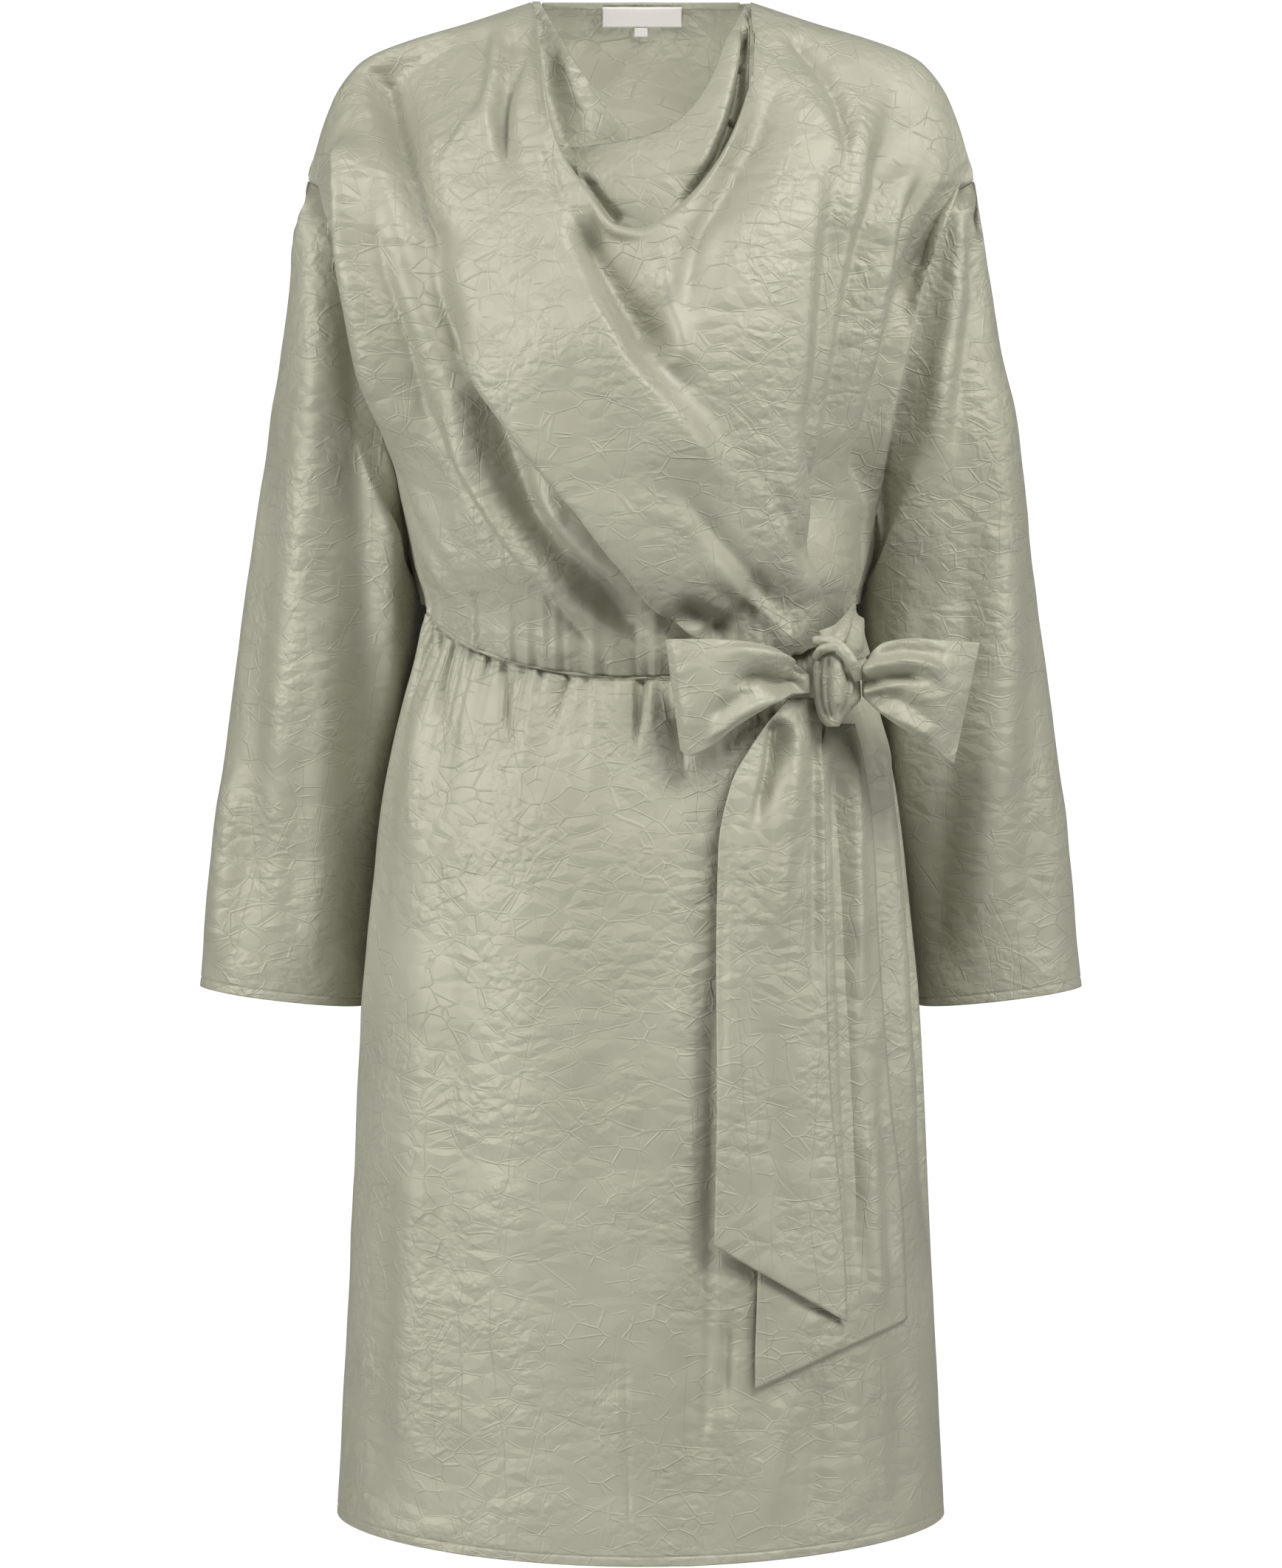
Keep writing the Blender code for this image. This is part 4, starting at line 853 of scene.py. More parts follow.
def slopes(grid, closed=False):
    """How the grid changes from row to row and from column to column."""
    if not closed:
        return np.gradient(grid, axis=0), np.gradient(grid, axis=1)
    return np.gradient(grid, axis=0), (np.roll(grid, -1, axis=1) - np.roll(grid, 1, axis=1)) / 2


def outward(grid, way=1, closed=False):
    """The direction out of the cloth at each point of a grid."""
    down, across = slopes(grid, closed)
    normal = np.cross(down, across) * way
    return normal / np.maximum(np.linalg.norm(normal, axis=-1, keepdims=True), TINY)


def raised(grid, height, way=1, closed=False):
    """The grid with each point moved out of the cloth by its own height."""
    return grid + outward(grid, way, closed) * height[..., None]


GRADIENTS = np.random.default_rng(NOISE_SEEDS[0]).normal(size=(NOISE_DIRECTIONS, 3))
GRADIENTS /= np.linalg.norm(GRADIENTS, axis=1, keepdims=True)
ORDER = np.tile(np.random.default_rng(NOISE_SEEDS[1]).permutation(NOISE_CELLS), 2)


def noise(points, scale, shift=0.0):
    """Smooth noise between about -1 and 1. scale is in waves a metre."""
    at = points * scale + shift
    cell = np.floor(at).astype(int)
    part = at - cell
    fade = part**3 * (part * (part * 6 - 15) + 10)
    total = np.zeros(points.shape[:-1])
    for corner in np.ndindex(2, 2, 2):
        index = (cell + corner) & (NOISE_CELLS - 1)
        pick = ORDER[ORDER[ORDER[index[..., 0]] + index[..., 1]] + index[..., 2]] % NOISE_DIRECTIONS
        weight = np.where(corner, fade, 1 - fade).prod(axis=-1)
        total += weight * (GRADIENTS[pick] * (part - corner)).sum(-1)
    return total * NOISE_GAIN


def crinkle(points):
    """The satin's shallow waves. Its finer creases are in the material."""
    patch = np.clip(0.5 + noise(points, *CRINKLE_PATCH), 0, 1)
    small = CRINKLE_SMALL_SHARE * noise(points, *CRINKLE_SMALL) * patch
    return CRINKLE * (noise(points, *CRINKLE_BROAD) + small)


def edge_window(shape, first_row, top, foot, side):
    """0 on a grid's sewn edges and 1 inside. top, foot and side are the shares over which it rises."""
    rows = np.concatenate([np.zeros(first_row), np.linspace(0, 1, shape[0] - first_row)])
    columns = np.linspace(0, 1, shape[1])
    row_window = ease(rows / top) * ease((1 - rows) / foot)
    column_window = ease(columns / side) * ease((1 - columns) / side)
    return row_window[:, None] * column_window[None]


def steps_to_seam(count, whole, power=1.0):
    """Shares from 0 to 1 over `whole` metres, with more rows close to a seam at 1."""
    shares = np.linspace(0, 1, count) ** power
    close = 1 - SEAM_ROWS / whole
    return np.unique(np.concatenate([shares[shares < close[0]], close, [1.0]]))


def to_hem(count, whole):
    """Shares from 0 to 1 over `whole` metres, with more rows at the line of stitches above the edge at 1."""
    shares = np.linspace(0, 1, count)
    close = 1 - HEM_ROWS / whole
    return np.concatenate([shares[shares < close[0]], close, [1.0]])


def swell(z):
    """1 in the middle of the armholes' lower ends and 0 well away from them."""
    return np.exp(-(((z - SWELL_Z) / SWELL_REACH) ** 4))


def pleats(angle, below, seed):
    """How far short pleats lift the cloth, at an angle round the figure and metres from the waist seam."""
    draw = np.random.default_rng(seed)

    def drawn(numbers, power=1):
        return numbers[0] + numbers[1] * draw.random() ** power

    out = np.zeros(np.broadcast(angle, below).shape)
    for k in range(PLEAT_COUNT):
        at = (-90 + 180 * (k + drawn(PLEAT_PLACE)) / PLEAT_COUNT) * DEGREE
        spread = drawn(PLEAT_SPREAD) * DEGREE
        height = drawn(PLEAT_HEIGHT, 2) * MM * (1 if draw.random() < 0.5 else -1)
        length = drawn(PLEAT_LENGTH, 2) * MM
        bell = np.exp(-(((angle - at) / spread) ** 2))
        out += height * bell * np.exp(-below / length) * ease(below / PLEAT_RISE)
    return out


def seam_roll(distance):
    """How far the cloth turns in at a seam, at this distance from it."""
    return -SEAM_ROLL * np.exp(-((distance / SEAM_REACH) ** 2))


def hem_groove(distance):
    """The line of stitches above a turned edge sinks in a little."""
    return -STITCH_SINK * np.exp(-(((distance - HEM_DEPTH) / STITCH_WIDTH) ** 2))


# Meshes.


def grid_mesh(grid, closed=False, flip=False, keep=None):
    """A mesh of quads over a grid of points. keep says which cells there are. Points that meet become one."""
    rows, columns = grid.shape[:2]
    r, c = np.meshgrid(np.arange(rows - 1), np.arange(columns if closed else columns - 1), indexing="ij")
    if keep is not None:
        r, c = r[keep], c[keep]
    r, c = r.ravel(), c.ravel()
    d = (c + 1) % columns
    here, below = r * columns, (r + 1) * columns
    corners = np.stack([here + c, below + c, below + d, here + d], axis=-1)
    if flip:
        corners = corners[:, ::-1]
    mesh = bpy.data.meshes.new("cloth")
    mesh.from_pydata(grid.reshape(-1, 3), [], corners.tolist())
    made = bmesh.new()
    made.from_mesh(mesh)
    bpy.data.meshes.remove(mesh)
    bmesh.ops.delete(made, geom=[v for v in made.verts if not v.link_faces], context="VERTS")
    bmesh.ops.remove_doubles(made, verts=made.verts, dist=0.01 * MM)
    return made


def add_object(name, data):
    made = bpy.data.objects.new(name, data)
    bpy.context.scene.collection.objects.link(made)
    return made


def mesh_from(name, shape, finish=None):
    """A mesh from a bmesh, which is freed."""
    mesh = bpy.data.meshes.new(name)
    shape.to_mesh(mesh)
    shape.free()
    if finish:
        mesh.materials.append(finish)
    return mesh


def add_piece(node, shape, finish, thickness=CLOTH):
    """A piece of the dress that takes the place of its node."""
    made = add_object(node + "_cloth", mesh_from(node + "_cloth", shape, finish))
    made.data.shade_smooth()
    if thickness:
        wall = made.modifiers.new("wall", "SOLIDIFY")
        wall.thickness = thickness
        wall.offset = -1
        wall.use_even_offset = False
    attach(made, "root")
    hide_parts(node)
    return made


def front_grid(across, down):
    """The front's plain form: rows from the tucks behind the crest to the waist seam."""
    share = np.linspace(-1, 1, across + 1)
    angle, place = bodice_columns(share, FRONT_NECK_SHARE)
    on_shoulder = shoulder_point(place)
    in_neck = place < 1
    crest = crest_point(np.clip(0.5 + 0.5 * share / FRONT_NECK_SHARE, 0, 1))
    top_x = np.where(in_neck, crest[:, 0], np.sign(share) * on_shoulder[:, 0])
    top_z = np.where(in_neck, crest[:, 2], on_shoulder[:, 1])
    window = np.where(in_neck, np.sqrt(np.clip(1 - place**4, 0, 1)), 0)
    foot = waist_line(angle, WAIST_DIP_FRONT) + HALF_SEAM
    radius = CREST_ROUND * window
    rows = []
    for fall in steps_to_seam(down, BODICE_DROP, ROW_POWER):
        z = top_z + (foot - top_z) * fall
        point = bodice_point(angle, z, top_x, top_z, True)
        below = np.clip((top_z - z) / np.maximum(radius, TINY), 0, 1)
        point[:, 1] += radius * (1 - np.sqrt(1 - (1 - below) ** 2)) - HALF_SEAM
        rows.append(point)
    tucks = []
    for turn in np.linspace(0, 1, TUCK_ROWS + 1)[1:]:
        point = rows[0].copy()
        back = TUCK_ROLL * ease(turn * TUCK_QUICK) + TUCK_SLOPE * turn
        point[:, 1] += CREST_ROUND * window * back
        point[:, 2] -= CREST_TUCK * window * turn * turn
        tucks.append(point)
    return np.array(tucks[::-1] + rows), angle, in_neck


def make_front(finish):
    grid, angle, in_neck = front_grid(*FRONT_MESH)
    window, on_edge = (edge_window(grid.shape, TUCK_ROWS, *fade) for fade in FRONT_FADES)
    shape = folded(grid, FRONT_FOLDS, window)
    to_seam = grid[..., 2] - grid[-1, :, 2]
    small = pleats(angle[None], to_seam, PLEAT_SEED) + seam_roll(to_seam) + crinkle(grid)
    shape = raised(shape, small * on_edge)
    keep = np.ones((len(grid) - 1, grid.shape[1] - 1), bool)
    keep[:TUCK_ROWS] = in_neck[1:] & in_neck[:-1]
    return add_piece("bodice_front", grid_mesh(shape, keep=keep), finish)


def back_grid(across, down):
    share = np.linspace(-1, 1, across + 1)
    angle, place = bodice_columns(share, BACK_NECK_SHARE)
    on_shoulder = shoulder_point(place)
    in_neck = place < 1
    neck_x = NECK_HALF * share / BACK_NECK_SHARE
    top_x = np.where(in_neck, neck_x, np.sign(share) * on_shoulder[:, 0])
    top_z = np.where(in_neck, back_neck_height(neck_x), on_shoulder[:, 1])
    foot = waist_line(angle, WAIST_DIP_BACK) + HALF_SEAM
    rows = []
    for fall in steps_to_seam(down, BODICE_DROP, ROW_POWER):
        z = top_z + (foot - top_z) * fall
        point = bodice_point(angle, z, top_x, top_z, False)
        point[:, 1] += HALF_SEAM
        rows.append(point)
    return np.array(rows), angle


def make_back(finish):
    grid, angle = back_grid(*BACK_MESH)
    window, on_edge = (edge_window(grid.shape, 0, *fade) for fade in BACK_FADES)
    shape = folded(grid, BACK_FOLDS, window, -1)
    side = np.exp(-(((np.abs(angle) - SIDE_SWELL_AT) / SIDE_SWELL_SPREAD) ** 2)) * np.sign(angle)
    shape[..., 0] += SIDE_SWELL * side * swell(grid[..., 2]) * window
    to_seam = grid[..., 2] - grid[-1, :, 2]
    small = pleats(angle[None], to_seam, PLEAT_SEED + 1) + seam_roll(to_seam) + crinkle(grid)
    shape = raised(shape, small * on_edge, -1)
    return add_piece("bodice_back", grid_mesh(shape, flip=True), finish)


def skirt_grid(across, down, is_front):
    angle = np.linspace(-math.pi / 2, math.pi / 2, across + 1)
    dip = WAIST_DIP_FRONT if is_front else WAIST_DIP_BACK
    top = waist_line(angle, dip) - HALF_SEAM
    foot = HEM_Z - (HEM_DIP_FRONT if is_front else 0) * np.cos(angle) ** 2
    way = -1 if is_front else 1
    rows = []
    from_seam = 1 - steps_to_seam(down, SKIRT_DROP)[::-1]
    from_hem = to_hem(down, SKIRT_DROP)
    for fall in np.concatenate([from_seam[from_seam < 0.5], from_hem[from_hem >= 0.5]]):
        z = top + (foot - top) * fall
        waisted = z + (WAIST_Z - top) * (1 - fall) ** WAIST_FADE_POWER
        point = skirt_ring(angle, waisted, is_front)
        point[:, 2] = z
        point[:, 1] += way * HALF_SEAM
        rows.append(point)
    return np.array(rows), angle


def make_skirt(finish, is_front):
    way = 1 if is_front else -1
    grid, angle = skirt_grid(*(SKIRT_MESH if is_front else SKIRT_BACK_MESH), is_front)
    below = grid[0, :, 2] - grid[..., 2]
    gathers = FRONT_GATHERS if is_front else BACK_GATHERS
    sideways = np.stack([np.sin(angle), -way * np.cos(angle), 0 * angle], axis=-1)
    shape = grid + sideways[None] * gather_height(angle + 0 * below, below, gathers)[..., None]
    window, on_edge = (edge_window(grid.shape, 0, *fade) for fade in SKIRT_FADES)
    if is_front:
        shape = folded(shape, SKIRT_FOLDS, window)
    above_hem = grid[..., 2] - grid[-1, :, 2]
    small = pleats(angle[None], below, PLEAT_SEED + 2 + way) + seam_roll(below) + crinkle(grid)
    small = small + hem_groove(above_hem)
    shape = raised(shape, small * on_edge, way)
    name = "skirt_front" if is_front else "skirt_back"
    return add_piece(name, grid_mesh(shape, flip=not is_front), finish)


def mirrored(fold):
    """The same fold on the other side of the dress."""
    route = [(2 * PHOTO_CENTRE[0] - x, y) for x, y in fold.route]
    return fold._replace(route=route, left=fold.right, right=fold.left)


def make_sleeve(finish, side):
    around, down = SLEEVE_MESH
    front, back = front_grid(*ARMHOLE_MESH[0])[0], back_grid(*ARMHOLE_MESH[1])[0]
    grid = sleeve(side, around, down, front[TUCK_ROWS:, -1], back[:, -1])
    way = -1 if side > 0 else 1
    normal = outward(grid, way, True)
    rows = to_hem(down, SLEEVE_LENGTH)[:, None]
    window = ease(rows / SLEEVE_FADE) * np.ones(around)
    before = LEFT_SLEEVE_FOLDS if side > 0 else RIGHT_SLEEVE_FOLDS
    behind = [mirrored(fold) for fold in BACK_SLEEVE_FOLDS] if side > 0 else BACK_SLEEVE_FOLDS
    shape = folded(grid, before, window * ease(-normal[..., 1] / FACING), way, True)
    shape += folded(grid, behind, window * ease(normal[..., 1] / FACING), way, True) - grid
    turn = np.linspace(0, 2 * math.pi, around, endpoint=False)
    inner = np.exp(-(((turn - SLEEVE_SWELL_AT) / SLEEVE_SWELL_SPREAD) ** 2))
    shape[..., 0] -= side * SLEEVE_SWELL * inner * swell(grid[..., 2])
    to_cuff = np.linalg.norm(grid - grid[-1], axis=-1)
    small = (crinkle(grid) + hem_groove(to_cuff)) * window
    shape = raised(shape, small, way, True)
    name = "sleeve_left" if side > 0 else "sleeve_right"
    return add_piece(name, grid_mesh(shape, closed=True, flip=side > 0), finish)


def on_back(pixel, off):
    """Places on the inside of the back, behind these photo pixels and this far off its outer face."""

    def back_y(place):
        x, z = place[..., 0], place[..., 2]
        half, depth, middle = (column(BODICE, "z", name, z) for name in ("half", "back_depth", "back_y"))
        cosine = np.sqrt(np.clip(1 - (x / half) ** 2, 0, 1))
        return middle + depth * cosine * rounding(x, z) - off

    return found(pixel, BACK_SEARCH, back_y)


def inside_back(node, box, off, thickness, mesh, finish):
    """A flat piece sewn inside the back: its box is left, right, top and foot in photo pixels."""
    left, right, top, foot = box
    columns, lines = mesh
    across = np.linspace(left, right, columns + 1)
    grid = np.stack(np.meshgrid(across, np.linspace(top, foot, lines + 1)), axis=-1)
    return add_piece(node, grid_mesh(on_back(grid, off + WALL + SEAM)), finish, thickness)


def make_neck(finish, label_finish):
    """The cowl's inner parts, and what is sewn inside the back of the neck."""
    made = [
        inside_back("neck_band_back", BAND_PX, BAND_OFF, BAND_CLOTH, BAND_MESH, finish),
        inside_back("brand_label", LABEL_PX, LABEL_OFF, LABEL_CLOTH, LABEL_MESH, label_finish),
        inside_back("size_tab", TAB_PX, LABEL_OFF, LABEL_CLOTH, TAB_MESH, label_finish),
    ]
    for node, grid in (("cowl_fold", cowl(*COWL_MESH)), ("neck_underlayer", under_layer(*UNDER_MESH))):
        window = edge_window(grid.shape, 0, *NECK_FADE)
        waves = raised(grid, crinkle(grid) * window) - grid
        shape = folded(grid, COWL_FOLDS, window) + waves
        made.append(add_piece(node, grid_mesh(shape), finish))
    return made


# The sash.

RIGHT_LOOP_FOLDS = folds("""
ridge 5 8 8 0.15 0.4 1085,902 1050,888 1008,884 960,893
ridge -6 5 5 0.12 0.4 1092,924 1062,926 1034,916 1010,922 988,944
ridge 4 5 5 0.15 0.3 1088,934 1052,942 1010,958 976,985 956,1020
ridge -3 6 7 0.3 0.3 1030,934 990,955 962,985
crease -2 3 3 0.1 0.5 1094,912 1066,902 1040,900
""")
LEFT_LOOP_FOLDS = folds("""
ridge 5 5 6 0.15 0.35 1168,920 1196,902 1226,897 1262,906 1286,926
ridge -5 4 4 0.12 0.35 1168,928 1200,916 1238,914 1262,930
ridge 3 3 3 0.12 0.4 1170,936 1200,930 1226,928
ridge -3 6 6 0.2 0.4 1170,943 1205,944 1240,960 1276,990
ridge 3 5 5 0.2 0.3 1174,950 1220,974 1270,1010
ridge -2.5 5 6 0.2 0.4 1180,892 1230,883 1290,892
""")
FRONT_TAIL_FOLDS = folds("""
ridge -6 4 7 0.1 0.4 1052,970 1045,1030 1034,1080 1018,1130
ridge 4 8 9 0.1 0.4 1076,960 1070,1060 1058,1160 1048,1320
ridge -2.2 5 5 0.15 0.4 1102,960 1106,1050 1106,1200 1104,1400
ridge 2.5 6 8 0.3 0.3 1004,1060 994,1200 992,1400 990,1560
ridge -2.2 12 12 0.3 0.2 1036,1340 1044,1480 1058,1620 1076,1740
""")
BACK_TAIL_FOLDS = folds("""
ridge 3 4 5 0.15 0.4 1152,990 1157,1080 1160,1200 1168,1400
ridge -4 5 5 0.1 0.2 1132,1000 1136,1100 1142,1250 1152,1500 1162,1750
ridge -2 5 5 0.3 0.2 1196,1400 1206,1600 1214,1750
ridge 2.5 7 6 0.3 0.2 1176,1500 1182,1650 1192,1790
""")
STRAP_FOLDS = folds("""
ridge 2.5 2 3 0.15 0.2 1152,818 1144,850 1132,882
ridge -2.5 2 2 0.15 0.2 1158,820 1154,852 1148,888
ridge 2 2 2 0.15 0.2 1163,832 1164,860 1162,888
""")
KNOT = table("row left right", """
882 1116 1142
890 1106 1149
904 1101 1158
925 1100 1165
945 1102 1166
960 1105 1154
974 1110 1143
984 1119 1136
""")
KNOT_FOLDS = folds("""
ridge -2.6 1.6 1.8 0.15 0.15 1114,886 1108,918 1111,952 1122,980
ridge -2.2 1.6 1.8 0.15 0.15 1126,886 1119,920 1122,955 1129,980
ridge 1.8 3 3 0.15 0.15 1136,888 1134,925 1134,960
ridge -1.8 1.8 2 0.15 0.15 1146,892 1150,922 1143,952 1134,978
ridge -1.2 1.6 1.6 0.15 0.25 1156,908 1160,932 1152,956
""")
KNOT_Y = -76 * MM
KNOT_DEPTH = 13 * MM
KNOT_END, KNOT_BULGE, KNOT_POWER = 0.35, 0.65, 0.6  # shares of that depth at its ends, and added between them
KNOT_CUT, KNOT_SPAN = 0.08, 0.84  # the part of half a sine's turn that it goes through
KNOT_FACING = 0.4
Turn = namedtuple("Turn", "route y width")  # y and width in mm
KNOT_TURNS = [
    Turn(pixels("1100,867 1120,867 1140,878 1155,899 1163,922"), (-80, -87, -91, -90, -85), 8),
    Turn(pixels("1102,892 1114,878 1130,876 1144,887 1150,902"), (-82, -88, -91, -91, -88), 6),
]
TURN_DEPTH = 2.4 * MM
TURN_END, TURN_BULGE, TURN_POWER = 0.55, 0.45, 0.5  # shares of its width at its ends, and added between them


def make_loop(finish, node, outline, creases, flip):
    """A loop of the bow: its front goes out from the knot, turns back at the outer end and returns behind."""
    across, down = LOOP_MESH
    at = np.linspace(0, 1, across + 1)
    top, foot = edges_px(outline, at)
    front, back = (depth * MM for depth in curves(outline, "front back", at))
    middle = (front + back) / 2
    near, far = [], []
    for t in np.linspace(0, 1, down + 1):
        bulge = LOOP_EDGE + LOOP_BULGE * math.sin(math.pi * t)
        pixel = top + (foot - top) * t
        near.append(from_photo(pixel, middle + (front - middle) * bulge))
        far.append(from_photo(pixel, middle + (back - middle) * bulge))
    near, far = np.array(near), np.array(far)
    way = -1 if flip else 1
    window = edge_window(near.shape, 0, *LOOP_FADE)
    near = folded(near, creases, window, way)
    near = raised(near, crinkle(near) * window, way)
    far = raised(far, -crinkle(far) * window, way)
    grid = np.concatenate([near, far[:, ::-1]], axis=1)
    return add_piece(node, grid_mesh(grid, flip=flip), finish)


def skirt_front_y(place):
    """How far forward the plain skirt stands in front of or behind a place."""
    x, z = place[..., 0], place[..., 2]
    half = column(SKIRT, "drop", "half", WAIST_Z - z)
    sine = np.clip(x / half, -WIDEST_SINE, WIDEST_SINE)
    return skirt_ring(np.arcsin(sine), z, True)[..., 1]


def make_tail(finish, node, outline, cut, creases):
    """A hanging end of the sash: it lies a little off the skirt and is cut to a slant."""
    across, down = TAIL_MESH
    keys = [place.row for place in outline]
    t = np.linspace(0, 1, across + 1)
    rows = []
    for fall in np.linspace(0, 1, down + 1):
        foot = cut[0] + (cut[1] - cut[0]) * t
        row = keys[0] + (foot - keys[0]) * fall
        _, left, right, off = (hermite(keys, numbers, row) for numbers in zip(*outline))
        pixel = np.stack([left + (right - left) * t, row], axis=-1)
        rows.append(found(pixel, TAIL_SEARCH, lambda place: skirt_front_y(place) - off * MM))
    grid = np.array(rows)
    window = edge_window(grid.shape, 0, *TAIL_FADE)
    shape = folded(grid, creases, window)
    shape = raised(shape, crinkle(grid) * window)
    return add_piece(node, grid_mesh(shape), finish)


def make_strap(finish):
    across, down = STRAP_MESH
    at = np.linspace(0, 1, across + 1)
    top, foot = edges_px(STRAP, at)
    y = curves(STRAP, "y", at)[0] * MM
    grid = np.array([from_photo(top + (foot - top) * t, y) for t in np.linspace(0, 1, down + 1)])
    shape = folded(grid, STRAP_FOLDS, edge_window(grid.shape, 0, *STRAP_FADE))
    return add_piece("sash_strap", grid_mesh(shape), finish)


def knot_turn(turn):
    """One turn of the sash over the knot: a flattened tube that narrows to its ends."""
    around, steps = TURN_MESH
    at = np.linspace(0, 1, steps)
    route = along(turn.route, at)
    y = hermite(np.linspace(0, 1, len(turn.y)), np.array(turn.y) * MM, at)
    run = np.gradient(route, axis=0)
    sideways = np.stack([-run[:, 1], run[:, 0]], axis=-1) / np.linalg.norm(run, axis=1, keepdims=True)
    section = np.linspace(0, 2 * math.pi, around, endpoint=False)
    half = turn.width * MM / PIXEL / 2
    narrow = (TURN_END + TURN_BULGE * np.sin(math.pi * at) ** TURN_POWER)[:, None]
    pixel = route[:, None] + sideways[:, None] * (half * np.cos(section)[None] * narrow)[..., None]
    ring = from_photo(pixel, y[:, None] - TURN_DEPTH * np.sin(section)[None] * narrow)
    part = grid_mesh(ring, closed=True)
    bmesh.ops.holes_fill(part, edges=[e for e in part.edges if e.is_boundary])
    bmesh.ops.recalc_face_normals(part, faces=part.faces)
    return part


def make_knot(finish):
    """The knot: one wrap that stands up, and two turns of the sash that cross over its top."""
    around, down = KNOT_MESH
    turn = np.linspace(0, 2 * math.pi, around, endpoint=False)
    keys = [place.row for place in KNOT]
    rows = []
    for row in np.linspace(keys[0], keys[-1], down + 1):
        _, left, right = (hermite(keys, numbers, row) for numbers in zip(*KNOT))
        middle, half = (left + right) / 2, (right - left) / 2
        share = (row - keys[0]) / (keys[-1] - keys[0])
        sine = math.sin(math.pi * (KNOT_CUT + KNOT_SPAN * share))
        deep = KNOT_DEPTH * (KNOT_END + KNOT_BULGE * sine**KNOT_POWER)
        pixel = np.stack([middle + half * np.cos(turn), np.full(around, row)], axis=-1)
        rows.append(from_photo(pixel, KNOT_Y - deep * np.sin(turn)))
    grid = np.array(rows)
    faces_front = ease(np.sin(turn) / KNOT_FACING)[None] * np.ones((down + 1, 1))
    shape = folded(grid, KNOT_FOLDS, faces_front, -1, True)
    body = grid_mesh(shape, closed=True, flip=True)
    bmesh.ops.holes_fill(body, edges=[e for e in body.edges if e.is_boundary])
    for turn in KNOT_TURNS:
        mesh = mesh_from("turn", knot_turn(turn))
        body.from_mesh(mesh)
        bpy.data.meshes.remove(mesh)
    return add_piece("sash_knot", body, finish, thickness=0)


# Materials.


def add_node(tree, kind, inputs=None, **settings):
    """A shader node with these settings. An input is a value, or another node's output to be linked."""
    made = tree.nodes.new(kind)
    for name, value in settings.items():
        setattr(made, name, value)
    for name, value in (inputs or {}).items():
        if isinstance(value, bpy.types.NodeSocket):
            tree.links.new(value, made.inputs[name])
        else:
            made.inputs[name].default_value = value
    return made


def calculate(tree, operation, *values):
    return add_node(tree, "ShaderNodeMath", dict(enumerate(values)), operation=operation).outputs[0]


def ramp(tree, value, low, high, to_low=0.0, to_high=1.0):
    inputs = {"Value": value, "From Min": low, "From Max": high, "To Min": to_low, "To Max": to_high}
    return add_node(tree, "ShaderNodeMapRange", inputs, interpolation_type="SMOOTHSTEP").outputs["Result"]


def new_material(name):
    made = bpy.data.materials.new(name)
    made.use_nodes = True
    return made, made.node_tree, made.node_tree.nodes["Principled BSDF"]


def fuzz(tree, place, scale, detail, output="Fac"):
    """Noise at these places."""
    inputs = {"Vector": place, "Scale": scale, "Detail": detail}
    return add_node(tree, "ShaderNodeTexNoise", inputs).outputs[output]


def add_surface(tree, shader, height, bump, tone, colours):
    """Joins a height and two colours, mixed by a tone, to a shader. bump is its strength and distance."""
    inputs = {"Height": height, "Strength": bump[0], "Distance": bump[1]}
    tree.links.new(add_node(tree, "ShaderNodeBump", inputs).outputs[0], shader.inputs["Normal"])
    inputs = {"Factor": tone, "A": (*colours[0], 1), "B": (*colours[1], 1)}
    mixed = add_node(tree, "ShaderNodeMix", inputs, data_type="RGBA")
    tree.links.new(mixed.outputs["Result"], shader.inputs["Base Color"])


def satin_material():
    """Sage satin. Its creases are straight and thin: the edges and roofs of cells, each only in patches."""
    made, tree, shader = new_material("crinkled_satin")
    place = add_node(tree, "ShaderNodeTexCoord").outputs["Object"]
    bent = bent_places(tree, place)

    def roofs(across, up, scale):
        inputs = {0: bent, 1: (across, across, up)}
        squeezed = add_node(tree, "ShaderNodeVectorMath", inputs, operation="MULTIPLY").outputs[0]
        inputs = {"Vector": squeezed, "Scale": scale}
        return add_node(tree, "ShaderNodeTexVoronoi", inputs, feature="DISTANCE_TO_EDGE").outputs["Distance"]

    broad, middle, small, tall = (roofs(*cells) for cells in CREASE_CELLS)
    patches = [ramp(tree, fuzz(tree, place, scale, 1.0), low, high) for scale, low, high in CREASE_PATCHES]
    lined = zip((middle, broad, tall), CREASE_LINES)
    lines = [ramp(tree, roof, 0.0, width, 1.0, 0.0) for roof, width in lined]
    height = calculate(tree, "MULTIPLY", broad, CREASE_SHARES[0])
    for layer, patch, share in zip((middle, small, *lines), patches, CREASE_SHARES[1:]):
        height = calculate(tree, "MULTIPLY_ADD", calculate(tree, "MULTIPLY", layer, patch), share, height)
    crush = calculate(tree, "MULTIPLY", fuzz(tree, bent, *CRUSH), patches[1])
    height = calculate(tree, "MULTIPLY_ADD", crush, CRUSH_SHARE, height)
    noise_of_tone, tone_range = SATIN_PATCHES
    tone = ramp(tree, fuzz(tree, place, *noise_of_tone), *tone_range)
    add_surface(tree, shader, height, (1.0, CREASE_DEPTH), tone, (SAGE_DARK, SAGE))
    for name, value in SATIN.items():
        shader.inputs[name].default_value = value
    return made


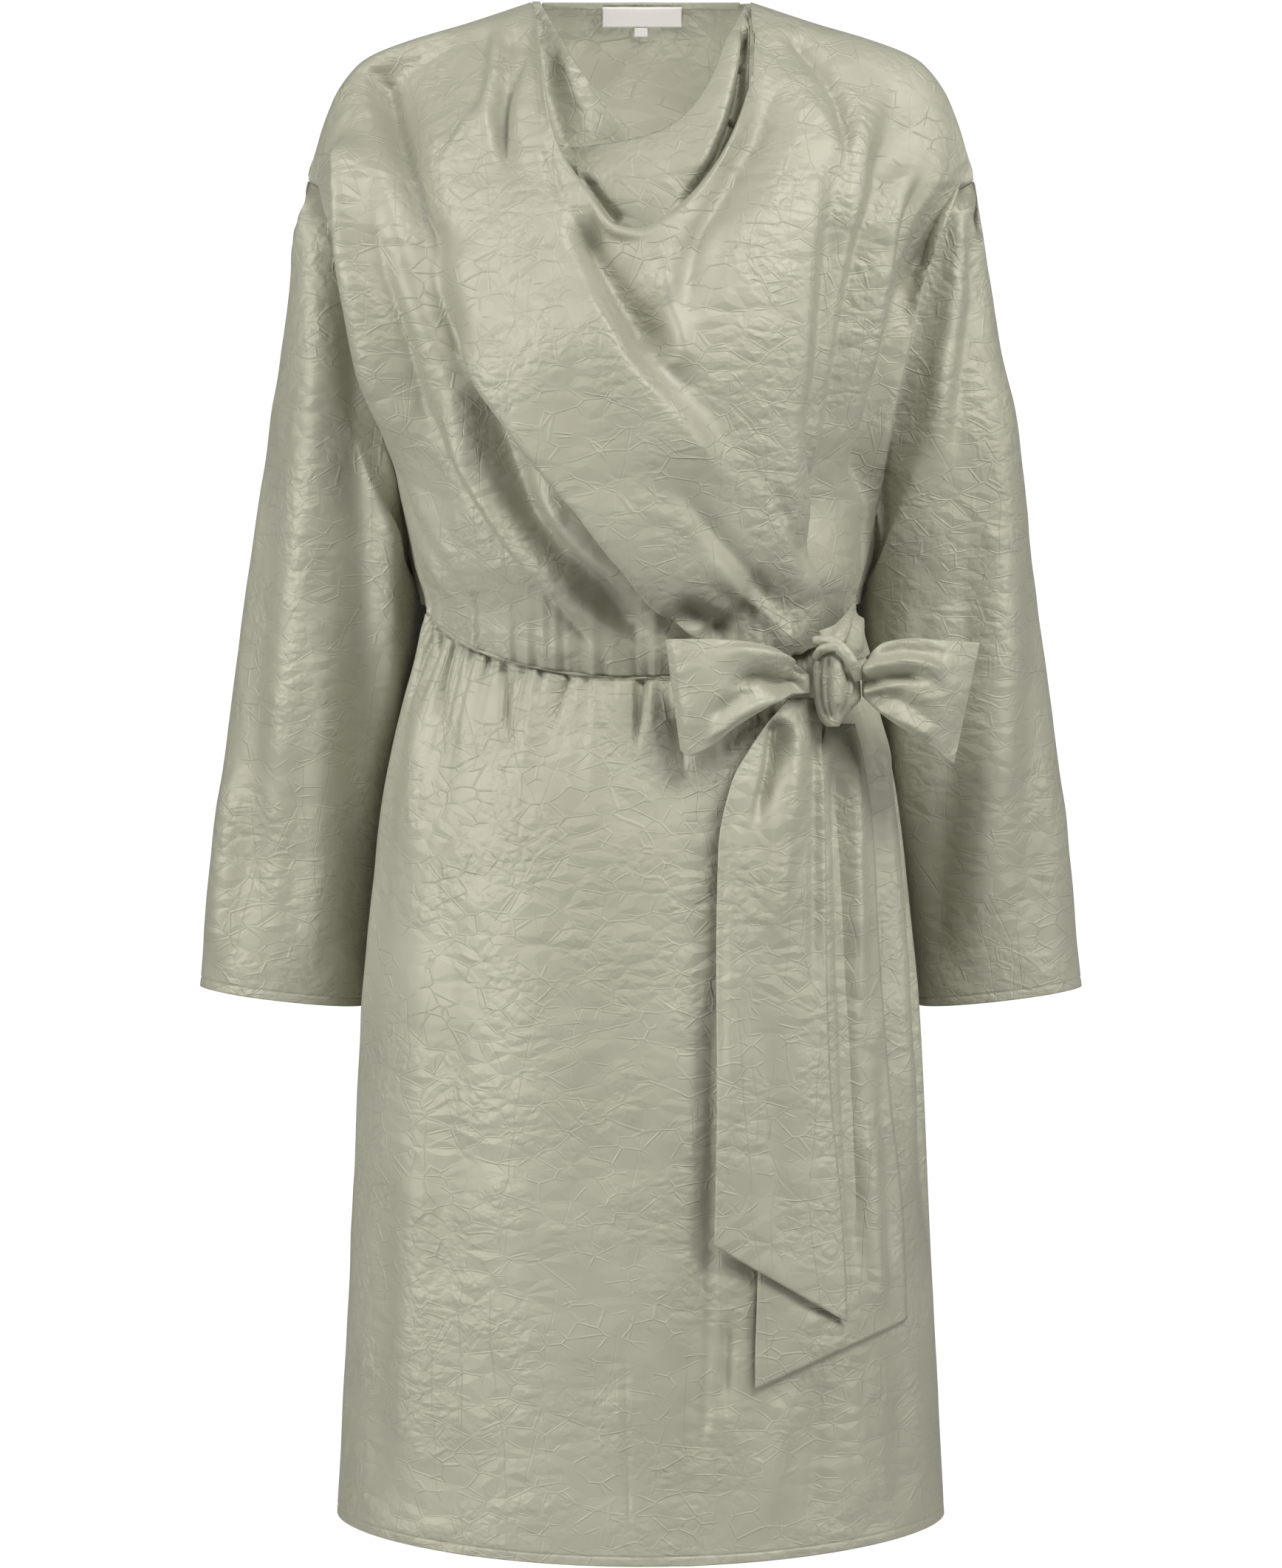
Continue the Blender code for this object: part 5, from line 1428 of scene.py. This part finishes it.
def bent_places(tree, place):
    """Places moved a little to and fro, so that the creases between them aren't quite straight."""
    sway = fuzz(tree, place, *CREASE_BEND, "Color")
    for operation, inputs in (("SUBTRACT", {1: (0.5, 0.5, 0.5)}), ("SCALE", {"Scale": CREASE_SWAY})):
        sway = add_node(tree, "ShaderNodeVectorMath", {0: sway, **inputs}, operation=operation).outputs[0]
    return add_node(tree, "ShaderNodeVectorMath", {0: place, 1: sway}, operation="ADD").outputs[0]


def label_material():
    """A blank woven label."""
    made, tree, shader = new_material("woven_label")
    place = add_node(tree, "ShaderNodeTexCoord").outputs["Object"]
    inputs = {"Vector": place, "Scale": LABEL_WEAVE, "Distortion": LABEL_SWAY}
    weave = add_node(tree, "ShaderNodeTexWave", inputs, bands_direction="Z").outputs["Fac"]
    add_surface(tree, shader, weave, LABEL_BUMP, weave, LABEL_COLOURS)
    shader.inputs["Roughness"].default_value = LABEL_ROUGHNESS
    return made


# Studio.


def add_camera():
    data = bpy.data.cameras.new("camera")
    data.sensor_fit = "VERTICAL"
    data.sensor_height = SENSOR
    data.lens = FOCAL * SENSOR / PHOTO_SIZE[1]
    camera = add_object("camera", data)
    camera.location = (0, -VIEW_DISTANCE, VIEW_HEIGHT)
    camera.rotation_euler = (math.pi / 2 - TILT, 0, 0)
    bpy.context.scene.camera = camera


def add_softbox(name, place, aim, size, spread, power):
    data = bpy.data.lights.new(name, "AREA")
    data.shape = "RECTANGLE"
    data.size, data.size_y = size
    data.spread = spread * DEGREE
    data.energy = power
    light = add_object(name, data)
    light.location = place
    light.rotation_euler = (Vector(aim) - Vector(place)).to_track_quat("-Z", "Y").to_euler()


def plain_material(name, colour, glow):
    made, _, shader = new_material(name)
    shader.inputs["Base Color"].default_value = (*colour, 1)
    shader.inputs["Roughness"].default_value = PLAIN_ROUGHNESS
    shader.inputs["Emission Color"].default_value = (*WHITE, 1)
    shader.inputs["Emission Strength"].default_value = glow
    return made


def add_backdrop(name, shape, height, colour, glow=0.0):
    made = add_object(name, mesh_from(name, shape, plain_material(name, colour, glow)))
    made.location = (0, 0, height)
    return made


def add_studio():
    """A pale round floor, a white dome that only the camera sees, and the lights."""
    floor = bmesh.new()
    bmesh.ops.create_circle(floor, cap_ends=True, segments=FLOOR_SIDES, radius=FLOOR_RADIUS)
    add_backdrop("floor", floor, FLOOR_Z, FLOOR_COLOUR)
    shell = bmesh.new()
    bmesh.ops.create_uvsphere(shell, u_segments=DOME_SIDES[0], v_segments=DOME_SIDES[1], radius=DOME_RADIUS)
    dome = add_backdrop("dome", shell, 0.0, WHITE, glow=1.0)
    dome.visible_diffuse = dome.visible_glossy = dome.visible_shadow = dome.visible_transmission = False
    world = bpy.data.worlds.new("studio")
    world.use_nodes = True
    background = world.node_tree.nodes["Background"]
    background.inputs["Color"].default_value = (*WHITE, 1)
    background.inputs["Strength"].default_value = WORLD_LIGHT
    bpy.context.scene.world = world
    for light in SOFTBOXES:
        add_softbox(*light)
    bpy.context.scene.view_settings.view_transform = "Standard"


def main():
    add_camera()
    satin = satin_material()
    label = label_material()
    made = [
        make_front(satin),
        make_back(satin),
        make_skirt(satin, True),
        make_skirt(satin, False),
        make_sleeve(satin, -1),
        make_sleeve(satin, 1),
        *make_neck(satin, label),
        make_loop(satin, "bow_loop_right", RIGHT_LOOP, RIGHT_LOOP_FOLDS, True),
        make_loop(satin, "bow_loop_left", LEFT_LOOP, LEFT_LOOP_FOLDS, False),
        make_tail(satin, "sash_tail_front", FRONT_TAIL, FRONT_TAIL_CUT, FRONT_TAIL_FOLDS),
        make_tail(satin, "sash_tail_back", BACK_TAIL, BACK_TAIL_CUT, BACK_TAIL_FOLDS),
        make_knot(satin),
        make_strap(satin),
    ]
    add_studio()


main()
